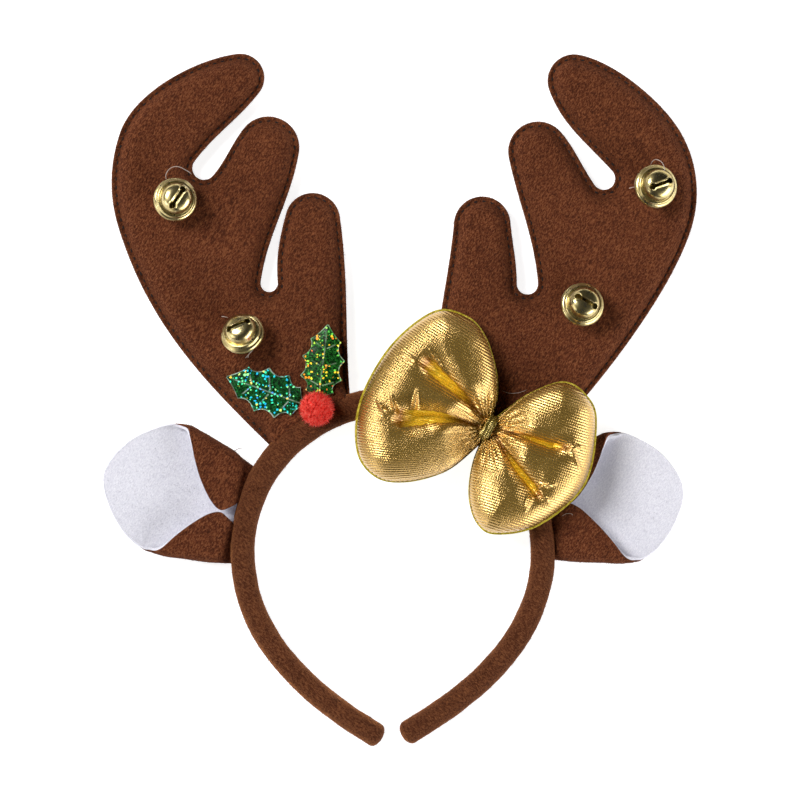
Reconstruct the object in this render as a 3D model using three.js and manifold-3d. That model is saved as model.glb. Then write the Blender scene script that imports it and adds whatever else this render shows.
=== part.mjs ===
// A reindeer headband lying on its back: a felt arch with two stuffed antlers, two folded ears, a gathered
// gold bow, four jingle bells, two holly leaves and a pompom berry.
// Millimetres. +Z is up out of the front of the headband, +Y runs from the tips of the band to the tips of
// the antlers, and the origin is on the surface it lies on, under the middle of its outline.

import * as THREE from 'three';
import { LoftGeometry } from 'three/addons/geometries/LoftGeometry.js';
import { mergeVertices } from 'three/addons/utils/BufferGeometryUtils.js';
import Module from 'manifold-3d';

const wasm = await Module();
wasm.setup();

// Clearance between pieces that touch
const GAP = 0.3;

// Felt band: half a circle with a leg curving in from each end
const BAND_X = -3.3;
const CROWN_Y = -68.4;
const CROWN_RADIUS = 67.7;
const LEGS = {
  left: { side: -1, tipX: 4.8, drop: 84.2 },
  right: { side: 1, tipX: 4.2, drop: 83.2 },
};
const LEG_TIP_SLOPE = 30;
const LEG_HANDLES = { top: 36, tip: 43 };
const BAND_DEPTH = 13;
const BAND_WIDTH = { crown: 12.6, leg: 10.9 };
const BAND_SQUARENESS = 2.6;
const BAND_TIP_ROUND = 3.4;
const BAND_TIP_STEPS = [0, 0.5, 1.6];
const BAND_STEPS = 30;
const BAND_SIDES = 12;

// Antlers: arcs of the felt outline, anticlockwise from the tine nearest the middle, and how the felt swells
// over the stuffing inside the sewn edge. The right antler is given as its mirror image.
const ANTLER_ARCS = {
  left: [
    { name: 'short tine', x: -39.4, y: 81.0, radius: 12.4, from: 8, to: 165, handle: 0.37 },
    { name: 'lower notch', x: -59.0, y: 52.6, radius: 3.9, from: 5, to: -188, handle: 0.37 },
    { name: 'middle tine', x: -59.4, y: 113.9, radius: 14.0, from: -10, to: 142, handle: 0.37 },
    { name: 'upper notch', x: -88.4, y: 104.6, radius: 5.3, from: -40, to: -217, handle: 0.37 },
    { name: 'long tine', x: -72.0, y: 145.4, radius: 10.8, from: -38, to: 97, handle: 0.3 },
    { name: 'outer bend', x: -62.6, y: 98.1, radius: 67.5, from: 160, to: 197, handle: 0.37 },
    { name: 'outer root', x: -55.1, y: -22.0, radius: 1.4, from: 226, to: 318, handle: 0.37 },
    { name: 'inner root', x: -23.8, y: -0.2, radius: 1.4, from: 286, to: 365, handle: 0.37 },
  ],
  right: [
    { name: 'short tine', x: -37.1, y: 79.0, radius: 12.8, from: 5, to: 175, handle: 0.37 },
    { name: 'lower notch', x: -57.5, y: 52.4, radius: 4.8, from: 0, to: -185, handle: 0.37 },
    { name: 'middle tine', x: -62.3, y: 112.1, radius: 13.5, from: -12, to: 140, handle: 0.37 },
    { name: 'upper notch', x: -92.0, y: 99.9, radius: 5.1, from: -35, to: -222, handle: 0.37 },
    { name: 'long tine', x: -78.5, y: 144.0, radius: 11.9, from: -20, to: 100, handle: 0.28 },
    { name: 'outer bend', x: -79.9, y: 93.6, radius: 54.0, from: 150, to: 195, handle: 0.25 },
    { name: 'outer root', x: -53.5, y: -28.2, radius: 1.4, from: 229, to: 325, handle: 0.37 },
    { name: 'inner root', x: -17.9, y: -1.3, radius: 1.4, from: 287, to: 355, handle: 0.37 },
  ],
};
const ANTLER_STEP = { bend: 6, run: 14 };
const ANTLER_FRONT = 11.5;
const ANTLER_SWELL = [
  { inset: 6.5, height: 0 },
  { inset: 3.4, height: 0.9 },
  { inset: 1.9, height: 3.3 },
  { inset: 0, height: 3.6 },
  { inset: 0, height: 6.0 },
  { inset: 1.9, height: 6.3 },
  { inset: 3.4, height: 8.7 },
  { inset: 6.0, height: 10.6 },
  { inset: 9.0, height: ANTLER_FRONT },
];
const ANTLER_ROOT_INSET = 0.1;
const ANTLER_ROOT_BLEND = 14;

// Ears: two sheets of felt, the sides of the base folded forward. One row for each section out from the
// band. Upper and lower are from the ear's axis to each fold, turn is the angle of the fold and tail the flat
// flap after it.
const EAR_SHEET = 1.2;
const EAR_ROWS = [
  { along: -6.3, upper: 20.3, lower: 22.5, radius: 4, upTurn: 172, upTail: 10, lowTurn: 172, lowTail: 10 },
  { along: 0, upper: 23, lower: 23.9, radius: 4.2, upTurn: 174, upTail: 14.4, lowTurn: 174, lowTail: 14.4 },
  { along: 7.2, upper: 26.8, lower: 25.1, radius: 4.4, upTurn: 177, upTail: 23, lowTurn: 177, lowTail: 19 },
  { along: 12.6, upper: 28.6, lower: 25.6, radius: 4.4, upTurn: 177, upTail: 21, lowTurn: 177, lowTail: 16.7 },
  { along: 19.4, upper: 30.9, lower: 26.1, radius: 4.2, upTurn: 174, upTail: 14, lowTurn: 174, lowTail: 10.4 },
  { along: 23.9, upper: 32.2, lower: 26.6, radius: 3.9, upTurn: 170, upTail: 7.6, lowTurn: 170, lowTail: 6.2 },
  { along: 27, upper: 33.2, lower: 26.8, radius: 3.6, upTurn: 160, upTail: 2.4, lowTurn: 160, lowTail: 3 },
  { along: 29.7, upper: 33.6, lower: 26.8, radius: 3.4, upTurn: 120, upTail: 0.8, lowTurn: 140, lowTail: 0.8 },
  { along: 34, upper: 33.5, lower: 26.7, radius: 3.4, upTurn: 80, upTail: 0.6, lowTurn: 90, lowTail: 0.6 },
  { along: 38, upper: 32.3, lower: 26.2, radius: 5, upTurn: 50, upTail: 0.6, lowTurn: 55, lowTail: 0.6 },
  { along: 46, upper: 27.4, lower: 21.7, radius: 8, upTurn: 28, upTail: 0.6, lowTurn: 30, lowTail: 0.6 },
  { along: 53.6, upper: 21, lower: 14, radius: 10, upTurn: 16, upTail: 0.6, lowTurn: 16, lowTail: 0.6 },
  { along: 59.4, upper: 12.4, lower: 5.4, radius: 10, upTurn: 8, upTail: 0.6, lowTurn: 8, lowTail: 0.6 },
  { along: 61.9, upper: 5.4, lower: -1.4, radius: 10, upTurn: 4, upTail: 0.6, lowTurn: 4, lowTail: 0.6 },
];
const EAR_TURN_STEPS = 3;
const EAR_CORNER = 34;
const EARS = [
  {
    side: 'left', x: -73.8, y: -50.4, axis: 167.3, across: -1,
    upFlap: 1, lowFlap: 1, lowRoot: 1, tip: 1,
  },
  {
    side: 'right', x: 68.9, y: -51.8, axis: 8, across: 1,
    upFlap: 0.8, lowFlap: 1.2, lowRoot: 0.87, tip: 0.92,
  },
];

// Bow: each lobe's outline is given round the tie, as an angle and a radius
const BOW = { x: 39.6, y: -12.6, axis: -31 };
const BOW_BACK = 15.3;
const BOW_BACKING = { thick: 1.2, edge: 0.9 };
const BOW_PAD_BACK = BOW_BACK + BOW_BACKING.thick + GAP;
const BOW_PAD = { rim: 1.0, crown: 11, shoulder: 14, waist: 0.3, gather: 22 };
const BOW_LOBES = [
  {
    outline: [
      { angle: 64, radius: 4.6 }, { angle: 74, radius: 16 }, { angle: 83, radius: 28 },
      { angle: 92, radius: 42 }, { angle: 101, radius: 51.5 }, { angle: 115, radius: 58 },
      { angle: 140, radius: 57.5 },
      { angle: 168, radius: 59 }, { angle: 190, radius: 60 }, { angle: 204, radius: 55 },
      { angle: 214, radius: 43.5 }, { angle: 226, radius: 27 }, { angle: 238, radius: 11 },
      { angle: 250, radius: 4.6 },
    ],
    folds: [
      { angle: 131, reach: 0.8, depth: 8, spread: 8 },
      { angle: 171, reach: 0.86, depth: 8, spread: 8 },
    ],
  },
  {
    outline: [
      { angle: -124, radius: 4.6 }, { angle: -114, radius: 18 }, { angle: -106, radius: 32 },
      { angle: -97, radius: 43 }, { angle: -86, radius: 48 }, { angle: -62, radius: 49.5 },
      { angle: -30, radius: 50.5 }, { angle: 4, radius: 49 }, { angle: 20, radius: 46.2 },
      { angle: 32, radius: 39.5 }, { angle: 40, radius: 24.5 }, { angle: 46, radius: 12 },
      { angle: 57, radius: 4.6 },
    ],
    folds: [
      { angle: -13.5, reach: 0.86, depth: 7.5, spread: 8 },
      { angle: -53.5, reach: 0.82, depth: 7.5, spread: 8 },
    ],
  },
];
const BOW_COLUMNS = 19;
const BOW_RINGS = [0.06, 0.2, 0.38, 0.56, 0.74, 0.88, 0.96, 1];
const BOW_WAIST = { along: 6, across: 4.2, up: 2.1 };
const BOW_TIE = { across: 5.1, up: 3.5, thick: 1.1, width: 4.4, sides: 10 };

// Jingle bells
const BELL = {
  rim: 9.9, rimThick: 1.4, shoulder: 8.0, dome: 7.1, domeRise: 6.4, cup: 7.6, wall: 0.5, sides: 12,
};
const BELL_SLOT = { hole: 1.4, apart: 8.2, width: 1.0, sides: 6 };
const BELLS = [
  { name: 'bell_left_upper', x: -101.0, y: 90.0, slot: 57, lean: 10, towards: 30 },
  { name: 'bell_left_lower', x: -70.6, y: 29.8, slot: 25, lean: 24, towards: 112 },
  { name: 'bell_right_upper', x: 114.7, y: 95.9, slot: 16, lean: 8, towards: 38 },
  { name: 'bell_right_lower', x: 81.8, y: 42.8, slot: -27, lean: 8, towards: 56 },
];

// Holly leaves: spines down both sides, with a hollow curve between one and the next
const LEAF = { length: 37.3, thick: 0.8, ridge: 1.6, hollow: 2.3, steps: 3, tip: 0.4 };
const LEAF_SPINES = [
  { along: 0, reach: LEAF.tip },
  { along: 0.21, reach: 7.6 },
  { along: 0.445, reach: 10.3 },
  { along: 0.7, reach: 10.2 },
  { along: 0.88, reach: 7.0 },
  { along: 1, reach: 1.6 },
];
const LEAVES = [
  { name: 'holly_leaf_side', x: -77.9, y: 10.4, heading: -19.7, size: 1 },
  { name: 'holly_leaf_upright', x: -32.4, y: 33.8, heading: -97.3, size: 0.92 },
];

// Pompom berry: a ball with locks of wool all over it, flat behind where it is glued on
const BERRY = {
  x: -37.4, y: -4.0, core: 6.3, radius: 8.3, locks: 28, lockWidth: 1.8, lockSides: 4, cut: 4.6,
};

const FELT = new THREE.MeshStandardMaterial({ color: 0x5f3522, roughness: 0.95, metalness: 0 });
const LINING = new THREE.MeshStandardMaterial({ color: 0xe7e5ee, roughness: 0.95, metalness: 0 });
const LAME = new THREE.MeshStandardMaterial({ color: 0xc9a24a, roughness: 0.4, metalness: 0.6 });
const BACKING = new THREE.MeshStandardMaterial({ color: 0xb9a52c, roughness: 0.9, metalness: 0 });
const TIE = new THREE.MeshStandardMaterial({ color: 0x94802f, roughness: 0.5, metalness: 0.5 });
const BRASS = new THREE.MeshStandardMaterial({ color: 0xd8cc8c, roughness: 0.25, metalness: 1 });
const FOIL = new THREE.MeshStandardMaterial({ color: 0x145c28, roughness: 0.3, metalness: 0.5 });
const WOOL = new THREE.MeshStandardMaterial({ color: 0xd6322c, roughness: 1, metalness: 0 });

const radians = THREE.MathUtils.degToRad;
const polar = (x, y, angle, radius) =>
  new THREE.Vector2(x + radius * Math.cos(radians(angle)), y + radius * Math.sin(radians(angle)));

/** A geometry as a closed solid that faces outwards. */
function solid(geometry) {
  const bare = new THREE.BufferGeometry();
  bare.setAttribute('position', geometry.attributes.position);
  bare.setIndex(geometry.index);
  const skin = mergeVertices(bare, 1e-4);
  const at = (i) => new THREE.Vector3().fromBufferAttribute(skin.attributes.position, i);
  const faces = [];
  let volume = 0;
  for (let i = 0; i < skin.index.count; i += 3) {
    const [a, b, c] = [0, 1, 2].map((k) => skin.index.getX(i + k));
    if (a === b || b === c || c === a) continue;
    faces.push([a, b, c]);
    volume += at(a).dot(at(b).cross(at(c)));
  }
  const turned = volume < 0 ? faces.map((face) => face.reverse()) : faces;
  return new wasm.Manifold(new wasm.Mesh({
    numProp: 3,
    vertProperties: Float32Array.from(skin.attributes.position.array),
    triVerts: Uint32Array.from(turned.flat()),
  }));
}

/** A solid as a geometry. */
function geometryOf(body) {
  const mesh = body.getMesh();
  const geometry = new THREE.BufferGeometry();
  geometry.setAttribute('position', new THREE.BufferAttribute(mesh.vertProperties, 3));
  geometry.setIndex(new THREE.BufferAttribute(mesh.triVerts, 1));
  geometry.computeVertexNormals();
  return geometry;
}

/** The direction that a section faces, by the way its points go round. */
function facing(section) {
  const total = new THREE.Vector3();
  section.forEach((point, i) => total.add(point.clone().cross(section[(i + 1) % section.length])));
  return total;
}

/** The middle of a section's points. */
function centre(section) {
  return section.reduce((sum, point) => sum.add(point), new THREE.Vector3()).divideScalar(section.length);
}

/** Sections joined into one skin, closed at both ends. */
function lofted(sections) {
  const ahead = centre(sections[1]).sub(centre(sections[0]));
  const against = facing(sections[0]).dot(ahead) < 0;
  const wound = against ? sections.map((section) => section.toReversed()) : sections;
  return solid(new LoftGeometry(wound, { capStart: true, capEnd: true }));
}

function mesh(name, body, material) {
  const piece = new THREE.Mesh(geometryOf(body), material);
  piece.name = name;
  return piece;
}

/** The middle line of the band, from the left tip over the crown to the right tip. */
function bandPath() {
  const path = new THREE.CurvePath();
  const slope = radians(LEG_TIP_SLOPE);
  const leg = ({ side, tipX, drop }) => [
    new THREE.Vector2(BAND_X + side * CROWN_RADIUS, CROWN_Y),
    new THREE.Vector2(BAND_X + side * CROWN_RADIUS, CROWN_Y - LEG_HANDLES.top),
    new THREE.Vector2(
      BAND_X + side * (tipX + LEG_HANDLES.tip * Math.cos(slope)),
      CROWN_Y - drop + LEG_HANDLES.tip * Math.sin(slope),
    ),
    new THREE.Vector2(BAND_X + side * tipX, CROWN_Y - drop),
  ];
  path.add(new THREE.CubicBezierCurve(...leg(LEGS.left).reverse()));
  path.add(new THREE.EllipseCurve(BAND_X, CROWN_Y, CROWN_RADIUS, CROWN_RADIUS, Math.PI, 0, true));
  path.add(new THREE.CubicBezierCurve(...leg(LEGS.right)));
  return path;
}

/** The band's solid, larger all round by grow. */
function band(grow = 0) {
  const path = bandPath();
  const length = path.getLength();
  const stations = [...BAND_TIP_STEPS];
  for (let i = 0; i <= BAND_STEPS; i++) {
    stations.push(THREE.MathUtils.lerp(BAND_TIP_ROUND, length - BAND_TIP_ROUND, i / BAND_STEPS));
  }
  stations.push(...BAND_TIP_STEPS.map((step) => length - step).reverse());
  const sections = [];
  for (const station of stations) {
    const u = station / length;
    const middle = path.getPointAt(u);
    const along = path.getTangentAt(u);
    const crowning = THREE.MathUtils.smoothstep(middle.y, CROWN_Y, CROWN_Y + CROWN_RADIUS);
    const width = THREE.MathUtils.lerp(BAND_WIDTH.leg, BAND_WIDTH.crown, crowning) / 2 + grow;
    const fromTip = Math.min(1, (Math.min(station, length - station) + 0.3) / BAND_TIP_ROUND);
    const round = 0.3 + 0.7 * Math.sqrt(1 - (1 - fromTip) ** 2);
    sections.push(bandSection(middle, along, width * round, (BAND_DEPTH / 2 + grow) * round));
  }
  return lofted(sections);
}

/** One rounded section across the band, flat where it lies on the table. */
function bandSection(middle, along, width, depth) {
  const section = [];
  const power = 2 / BAND_SQUARENESS;
  const bulge = (value) => Math.sign(value) * Math.abs(value) ** power;
  const flat = bulge(Math.cos(Math.PI / BAND_SIDES));
  for (let j = 0; j < BAND_SIDES; j++) {
    const angle = (2 * Math.PI * (j + 0.5)) / BAND_SIDES;
    const out = width * bulge(Math.cos(angle)) / flat;
    const up = BAND_DEPTH / 2 + depth * bulge(Math.sin(angle)) / flat;
    section.push(new THREE.Vector3(middle.x - along.y * out, middle.y + along.x * out, up));
  }
  return section;
}

/** A closed outline through arcs, each joined to the next by a curve that leaves both smoothly. */
function arcOutline(arcs) {
  const path = new THREE.Path();
  const ahead = (arc, angle) => polar(0, 0, angle + (arc.to > arc.from ? 90 : -90), 1);
  arcs.forEach((arc, i) => {
    const next = arcs[(i + 1) % arcs.length];
    const clockwise = arc.to < arc.from;
    const start = polar(arc.x, arc.y, arc.to, arc.radius);
    const end = polar(next.x, next.y, next.from, next.radius);
    const handle = start.distanceTo(end) * arc.handle;
    path.add(new THREE.EllipseCurve(
      arc.x, arc.y, arc.radius, arc.radius, radians(arc.from), radians(arc.to), clockwise,
    ));
    path.add(new THREE.CubicBezierCurve(
      start,
      start.clone().addScaledVector(ahead(arc, arc.to), handle),
      end.clone().addScaledVector(ahead(next, next.from), -handle),
      end,
    ));
  });
  return path.curves.flatMap((curve) => {
    const step = curve.xRadius < 20 ? ANTLER_STEP.bend : ANTLER_STEP.run;
    const parts = Math.max(2, Math.round(curve.getLength() / step));
    return curve.getSpacedPoints(parts).slice(0, -1);
  });
}

/** The inward direction at each point of an anticlockwise outline. */
function inwards(outline) {
  return outline.map((point, i) => {
    const before = outline[(i + outline.length - 1) % outline.length];
    const after = outline[(i + 1) % outline.length];
    const first = point.clone().sub(before).normalize();
    const second = after.clone().sub(point).normalize();
    const mean = first.add(second).normalize();
    return new THREE.Vector2(-mean.y, mean.x);
  });
}

/** One stuffed antler, its root let into the band. */
function antler(arcs, mirror, grownBand) {
  const outline = arcOutline(arcs);
  const inward = inwards(outline);
  const crown = new THREE.Vector2(mirror * BAND_X, CROWN_Y);
  const taper = outline.map((point) => {
    const out = point.distanceTo(crown) - CROWN_RADIUS;
    const free = THREE.MathUtils.smoothstep(out, 0, ANTLER_ROOT_BLEND);
    return THREE.MathUtils.lerp(ANTLER_ROOT_INSET, 1, free);
  });
  const sections = ANTLER_SWELL.map(({ inset, height }) => outline.map((point, i) => {
    const drawn = point.clone().addScaledVector(inward[i], inset * taper[i]);
    return new THREE.Vector3(mirror * drawn.x, drawn.y, height);
  }));
  return lofted(sections).subtract(grownBand);
}

/** One side of an ear's section, from its middle to its free edge: each point's place and facing. */
function earSide(half, radius, turn, tail) {
  const bend = radians(turn);
  const felt = GAP / 2 + EAR_SHEET;
  const used = turn >= 90 ? radius + felt : (radius + felt) * Math.sin(bend) + tail * Math.cos(bend);
  const straight = half - used;
  const points = [{ out: straight, up: 0, facing: 0 }];
  for (let k = 1; k <= EAR_TURN_STEPS; k++) {
    const angle = (bend * k) / EAR_TURN_STEPS;
    points.push({
      out: straight + radius * Math.sin(angle),
      up: radius * (1 - Math.cos(angle)),
      facing: angle,
    });
  }
  const last = points[EAR_TURN_STEPS];
  points.push({ out: last.out + tail * Math.cos(bend), up: last.up + tail * Math.sin(bend), facing: bend });
  return points;
}

/** One sheet of a folded ear between two distances from the middle of its felt. */
function earSheet(ear, near, far, grownBand) {
  const outward = polar(0, 0, ear.axis, 1);
  const across = new THREE.Vector2(-outward.y, outward.x).multiplyScalar(ear.across);
  const floor = GAP + GAP / 2 + EAR_SHEET;
  const sections = EAR_ROWS.map((row) => {
    const inner = Math.min(row.along, EAR_CORNER);
    const along = inner + (row.along - inner) * ear.tip;
    const reach = row.lower * THREE.MathUtils.lerp(ear.lowRoot, 1, inner / EAR_CORNER);
    const middle = (row.upper - reach) / 2;
    const half = (row.upper + reach) / 2;
    const flap = (tail, share) => tail * (tail > 1 ? share : 1);
    const upper = earSide(half, row.radius, row.upTurn, flap(row.upTail, ear.upFlap));
    const lower = earSide(half, row.radius, row.lowTurn, flap(row.lowTail, ear.lowFlap));
    const line = [
      ...lower.map((point) => ({ ...point, out: -point.out, side: -1 })).reverse(),
      { out: 0, up: 0, facing: 0, side: 1 },
      ...upper.map((point) => ({ ...point, side: 1 })),
    ];
    const placed = (offset) => line.map((point) => {
      const out = middle + point.out - point.side * Math.sin(point.facing) * offset;
      const up = floor + point.up + Math.cos(point.facing) * offset;
      return new THREE.Vector3(
        ear.x + outward.x * along + across.x * out,
        ear.y + outward.y * along + across.y * out,
        up,
      );
    });
    return [...placed(near), ...placed(far).reverse()];
  });
  return lofted(sections).subtract(grownBand);
}

/** The outline of one lobe of the bow, larger by edge, anticlockwise round from the tie to the tie. */
function lobeOutline(lobe, edge = 0) {
  const knots = lobe.outline.map(({ angle, radius }) => polar(0, 0, angle, radius + edge));
  return new THREE.SplineCurve(knots).getPoints(BOW_COLUMNS);
}

/** How far a point is from an open outline. */
function distanceTo(outline, point) {
  let nearest = Infinity;
  for (let i = 0; i + 1 < outline.length; i++) {
    const run = outline[i + 1].clone().sub(outline[i]);
    const part = THREE.MathUtils.clamp(point.clone().sub(outline[i]).dot(run) / run.lengthSq(), 0, 1);
    nearest = Math.min(nearest, outline[i].clone().addScaledVector(run, part).distanceTo(point));
  }
  return nearest;
}

/** How high the gold stands over the back of the bow at a point of one lobe. */
function lobeHeight(lobe, outline, point, part) {
  const rise = Math.min(1, distanceTo(outline, point) / BOW_PAD.shoulder);
  const dome = Math.sqrt(1 - (1 - rise) ** 2);
  const clear = THREE.MathUtils.smoothstep(point.length(), 3, BOW_PAD.gather);
  const gather = THREE.MathUtils.lerp(BOW_PAD.waist, 1, clear);
  const angle = THREE.MathUtils.radToDeg(point.angle());
  let height = BOW_PAD.rim + BOW_PAD.crown * dome * gather;
  for (const fold of lobe.folds) {
    const turn = THREE.MathUtils.euclideanModulo(angle - fold.angle + 180, 360) - 180;
    const fade = 1 - THREE.MathUtils.smoothstep(part, fold.reach * 0.6, fold.reach + 0.1);
    height -= fold.depth * dome * gather * fade * Math.exp(-((turn / fold.spread) ** 2));
  }
  return Math.max(height, BOW_PAD.rim);
}

/** One gathered lobe of the bow. */
function bowLobe(lobe) {
  const outline = lobeOutline(lobe, -BOW_BACKING.edge);
  const sections = outline.map((rim) => {
    const points = BOW_RINGS.map((part) => rim.clone().multiplyScalar(part));
    const at = (point, up) => new THREE.Vector3(BOW.x + point.x, BOW.y + point.y, BOW_PAD_BACK + up);
    const front = points.map((point, i) => at(point, lobeHeight(lobe, outline, point, BOW_RINGS[i])));
    const back = [at(points.at(-1), 0), at(points[0], 0)];
    return [...front, ...back];
  });
  return lofted(sections);
}

/** The tie's ring round the waist of the bow, or with grow the space that it needs. */
function bowTie(grow = 0) {
  const ring = new THREE.Shape();
  const skin = BOW_TIE.thick + grow;
  ring.absellipse(0, 0, BOW_TIE.across + skin, BOW_TIE.up + skin, 0, 2 * Math.PI);
  const hole = new THREE.Path();
  hole.absellipse(0, 0, BOW_TIE.across - grow, BOW_TIE.up - grow, 0, 2 * Math.PI, true);
  ring.holes.push(hole);
  const geometry = new THREE.ExtrudeGeometry(ring, {
    depth: BOW_TIE.width + 2 * grow,
    bevelEnabled: false,
    curveSegments: BOW_TIE.sides,
  });
  geometry.translate(0, 0, -BOW_TIE.width / 2 - grow);
  geometry.rotateX(Math.PI / 2);
  geometry.rotateZ(radians(BOW.axis + 90));
  geometry.translate(BOW.x, BOW.y, BAND_DEPTH + GAP + 0.1 + BOW_TIE.thick + BOW_TIE.up);
  return solid(geometry);
}

/** The padded gold front of the bow: both lobes and the waist between them. */
function bowPad() {
  const waist = new THREE.SphereGeometry(1, 14, 8);
  waist.scale(BOW_WAIST.along, BOW_WAIST.across, BOW_WAIST.up);
  waist.rotateZ(radians(BOW.axis));
  waist.translate(BOW.x, BOW.y, BOW_PAD_BACK + BOW_WAIST.up);
  const [first, second] = BOW_LOBES.map(bowLobe);
  return first.add(second).add(solid(waist)).subtract(bowTie(GAP));
}

/** The felt backing of the bow, a little larger than the gold all round. */
function bowBacking() {
  const waist = new THREE.Shape().absellipse(
    0, 0, BOW_WAIST.along, BOW_WAIST.across - 1, 0, 2 * Math.PI, false, radians(BOW.axis),
  );
  const lobes = BOW_LOBES.map((lobe) => new THREE.Shape(lobeOutline(lobe)));
  const layers = [waist, ...lobes].map((shape) => solid(new THREE.ExtrudeGeometry(shape, {
    depth: BOW_BACKING.thick,
    bevelEnabled: false,
  })));
  const [middle, first, second] = layers;
  return middle.add(first).add(second).translate([BOW.x, BOW.y, BOW_BACK]).subtract(bowTie(GAP));
}

/** The bell's skin as a solid of revolution, smaller all round by shrink. */
function bellBody(shrink) {
  const profile = new THREE.Path();
  const half = BELL.rimThick / 2;
  const shoulder = half + 0.3;
  if (shrink > 0) {
    profile.moveTo(0, -(BELL.cup - shrink));
    profile.absarc(0, 0, BELL.cup - shrink, -Math.PI / 2, 0, false);
    profile.lineTo(BELL.dome - shrink, shoulder);
    profile.absellipse(0, shoulder, BELL.dome - shrink, BELL.domeRise - shrink, 0, Math.PI / 2, false);
  } else {
    profile.moveTo(0, -BELL.cup);
    profile.absarc(0, 0, BELL.cup, -Math.PI / 2, -Math.asin(half / BELL.cup), false);
    profile.lineTo(BELL.rim - 0.4, -half);
    profile.lineTo(BELL.rim, -half + 0.4);
    profile.lineTo(BELL.rim, half - 0.4);
    profile.lineTo(BELL.rim - 0.4, half);
    profile.lineTo(BELL.shoulder, half - 0.2);
    profile.lineTo(BELL.dome, shoulder);
    profile.absellipse(0, shoulder, BELL.dome, BELL.domeRise, 0, Math.PI / 2, false);
  }
  const points = profile.getPoints(2).map((point) => new THREE.Vector2(Math.max(0, point.x), point.y));
  points.at(-1).x = 0;
  return solid(new THREE.LatheGeometry(points, BELL.sides).rotateX(Math.PI / 2));
}

/** A hollow bell with its slot cut through the dome, standing on its cup. */
function bell() {
  const end = BELL_SLOT.apart / 2;
  const depth = 2 * BELL.domeRise;
  const bar = new THREE.BoxGeometry(BELL_SLOT.apart, BELL_SLOT.width, depth);
  const hole = new THREE.CylinderGeometry(BELL_SLOT.hole, BELL_SLOT.hole, depth, BELL_SLOT.sides);
  hole.rotateX(Math.PI / 2);
  const slot = solid(bar)
    .add(solid(hole.clone().translate(-end, 0, 0)))
    .add(solid(hole.clone().translate(end, 0, 0)))
    .translate([0, 0, BELL.domeRise + 2]);
  return bellBody(0).subtract(bellBody(BELL.wall)).subtract(slot);
}

/** One holly leaf, its tip at the origin and its base along +X. */
function leaf(size) {
  const sections = [];
  LEAF_SPINES.slice(1).forEach((spine, i) => {
    const before = LEAF_SPINES[i];
    for (let k = i === 0 ? 0 : 1; k <= LEAF.steps; k++) {
      const part = k / LEAF.steps;
      const hollow = LEAF.hollow * 4 * part * (1 - part);
      const reach = Math.max(LEAF.tip, THREE.MathUtils.lerp(before.reach, spine.reach, part) - hollow);
      const along = size * LEAF.length * THREE.MathUtils.lerp(before.along, spine.along, part);
      const line = [-1, -0.5, 0, 0.5, 1].map((share) => ({
        across: share * reach * size,
        up: LEAF.ridge * (1 - Math.abs(share)) * Math.min(1, reach / 5),
      }));
      sections.push([
        ...line.map(({ across, up }) => new THREE.Vector3(along, across, up)),
        ...line.map(({ across, up }) => new THREE.Vector3(along, across, up + LEAF.thick)).reverse(),
      ]);
    }
  });
  return lofted(sections);
}

/** The pompom: locks of wool fused to a ball. */
function berry() {
  let body = solid(new THREE.SphereGeometry(BERRY.core, 12, 8));
  const up = new THREE.Vector3(0, 1, 0);
  const turn = Math.PI * (3 - Math.sqrt(5));
  for (let i = 0; i < BERRY.locks; i++) {
    const height = 1 - (2 * (i + 0.5)) / BERRY.locks;
    const around = Math.sqrt(1 - height * height);
    const out = new THREE.Vector3(around * Math.cos(turn * i), around * Math.sin(turn * i), height);
    const root = BERRY.core * 0.8;
    const lock = new THREE.ConeGeometry(BERRY.lockWidth, BERRY.radius - root, BERRY.lockSides);
    lock.applyQuaternion(new THREE.Quaternion().setFromUnitVectors(up, out));
    lock.translate(...out.clone().multiplyScalar((BERRY.radius + root) / 2));
    body = body.add(solid(lock));
  }
  return body.trimByPlane([0, 0, 1], -BERRY.cut).translate([0, 0, BERRY.cut]);
}

const headband = new THREE.Group();
headband.name = 'reindeer_headband';
const grownBand = band(GAP);

headband.add(mesh('headband', band(), FELT));
headband.add(mesh('antler_left', antler(ANTLER_ARCS.left, 1, grownBand), FELT));
headband.add(mesh('antler_right', antler(ANTLER_ARCS.right, -1, grownBand), FELT));

for (const ear of EARS) {
  const outer = earSheet(ear, -GAP / 2 - EAR_SHEET, -GAP / 2, grownBand);
  const room = earSheet(ear, -GAP / 2 - EAR_SHEET, 0, grownBand);
  const lining = earSheet(ear, GAP / 2, GAP / 2 + EAR_SHEET, grownBand).subtract(room);
  headband.add(mesh(`ear_${ear.side}_outer`, outer, FELT));
  headband.add(mesh(`ear_${ear.side}_lining`, lining, LINING));
}

headband.add(mesh('bow_backing', bowBacking(), BACKING));
headband.add(mesh('bow_pad', bowPad(), LAME));
headband.add(mesh('bow_tie', bowTie(), TIE));

for (const { name, x, y, slot, lean, towards } of BELLS) {
  const piece = mesh(name, bell(), BRASS);
  const tipped = new THREE.Vector3(-Math.sin(radians(towards)), Math.cos(radians(towards)), 0);
  piece.quaternion.setFromAxisAngle(tipped, radians(lean));
  piece.rotateZ(radians(slot));
  piece.position.set(x, y, ANTLER_FRONT + GAP + BELL.cup);
  headband.add(piece);
}

for (const { name, x, y, heading, size } of LEAVES) {
  const piece = mesh(name, leaf(size), FOIL);
  piece.rotation.z = radians(heading);
  piece.position.set(x, y, ANTLER_FRONT + GAP);
  headband.add(piece);
}

const pompom = mesh('berry_pompom', berry(), WOOL);
pompom.position.set(BERRY.x, BERRY.y, BAND_DEPTH + GAP);
headband.add(pompom);

export default headband;
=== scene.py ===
"""The looks of a felt reindeer headband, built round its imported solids.

The headband lies on its back: +Z is up out of its front and +Y runs from the tips of the band to the tips of
the antlers. Sizes are in millimetres and angles in degrees, and each finished mesh is brought to metres.
"""

from __future__ import annotations

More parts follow.
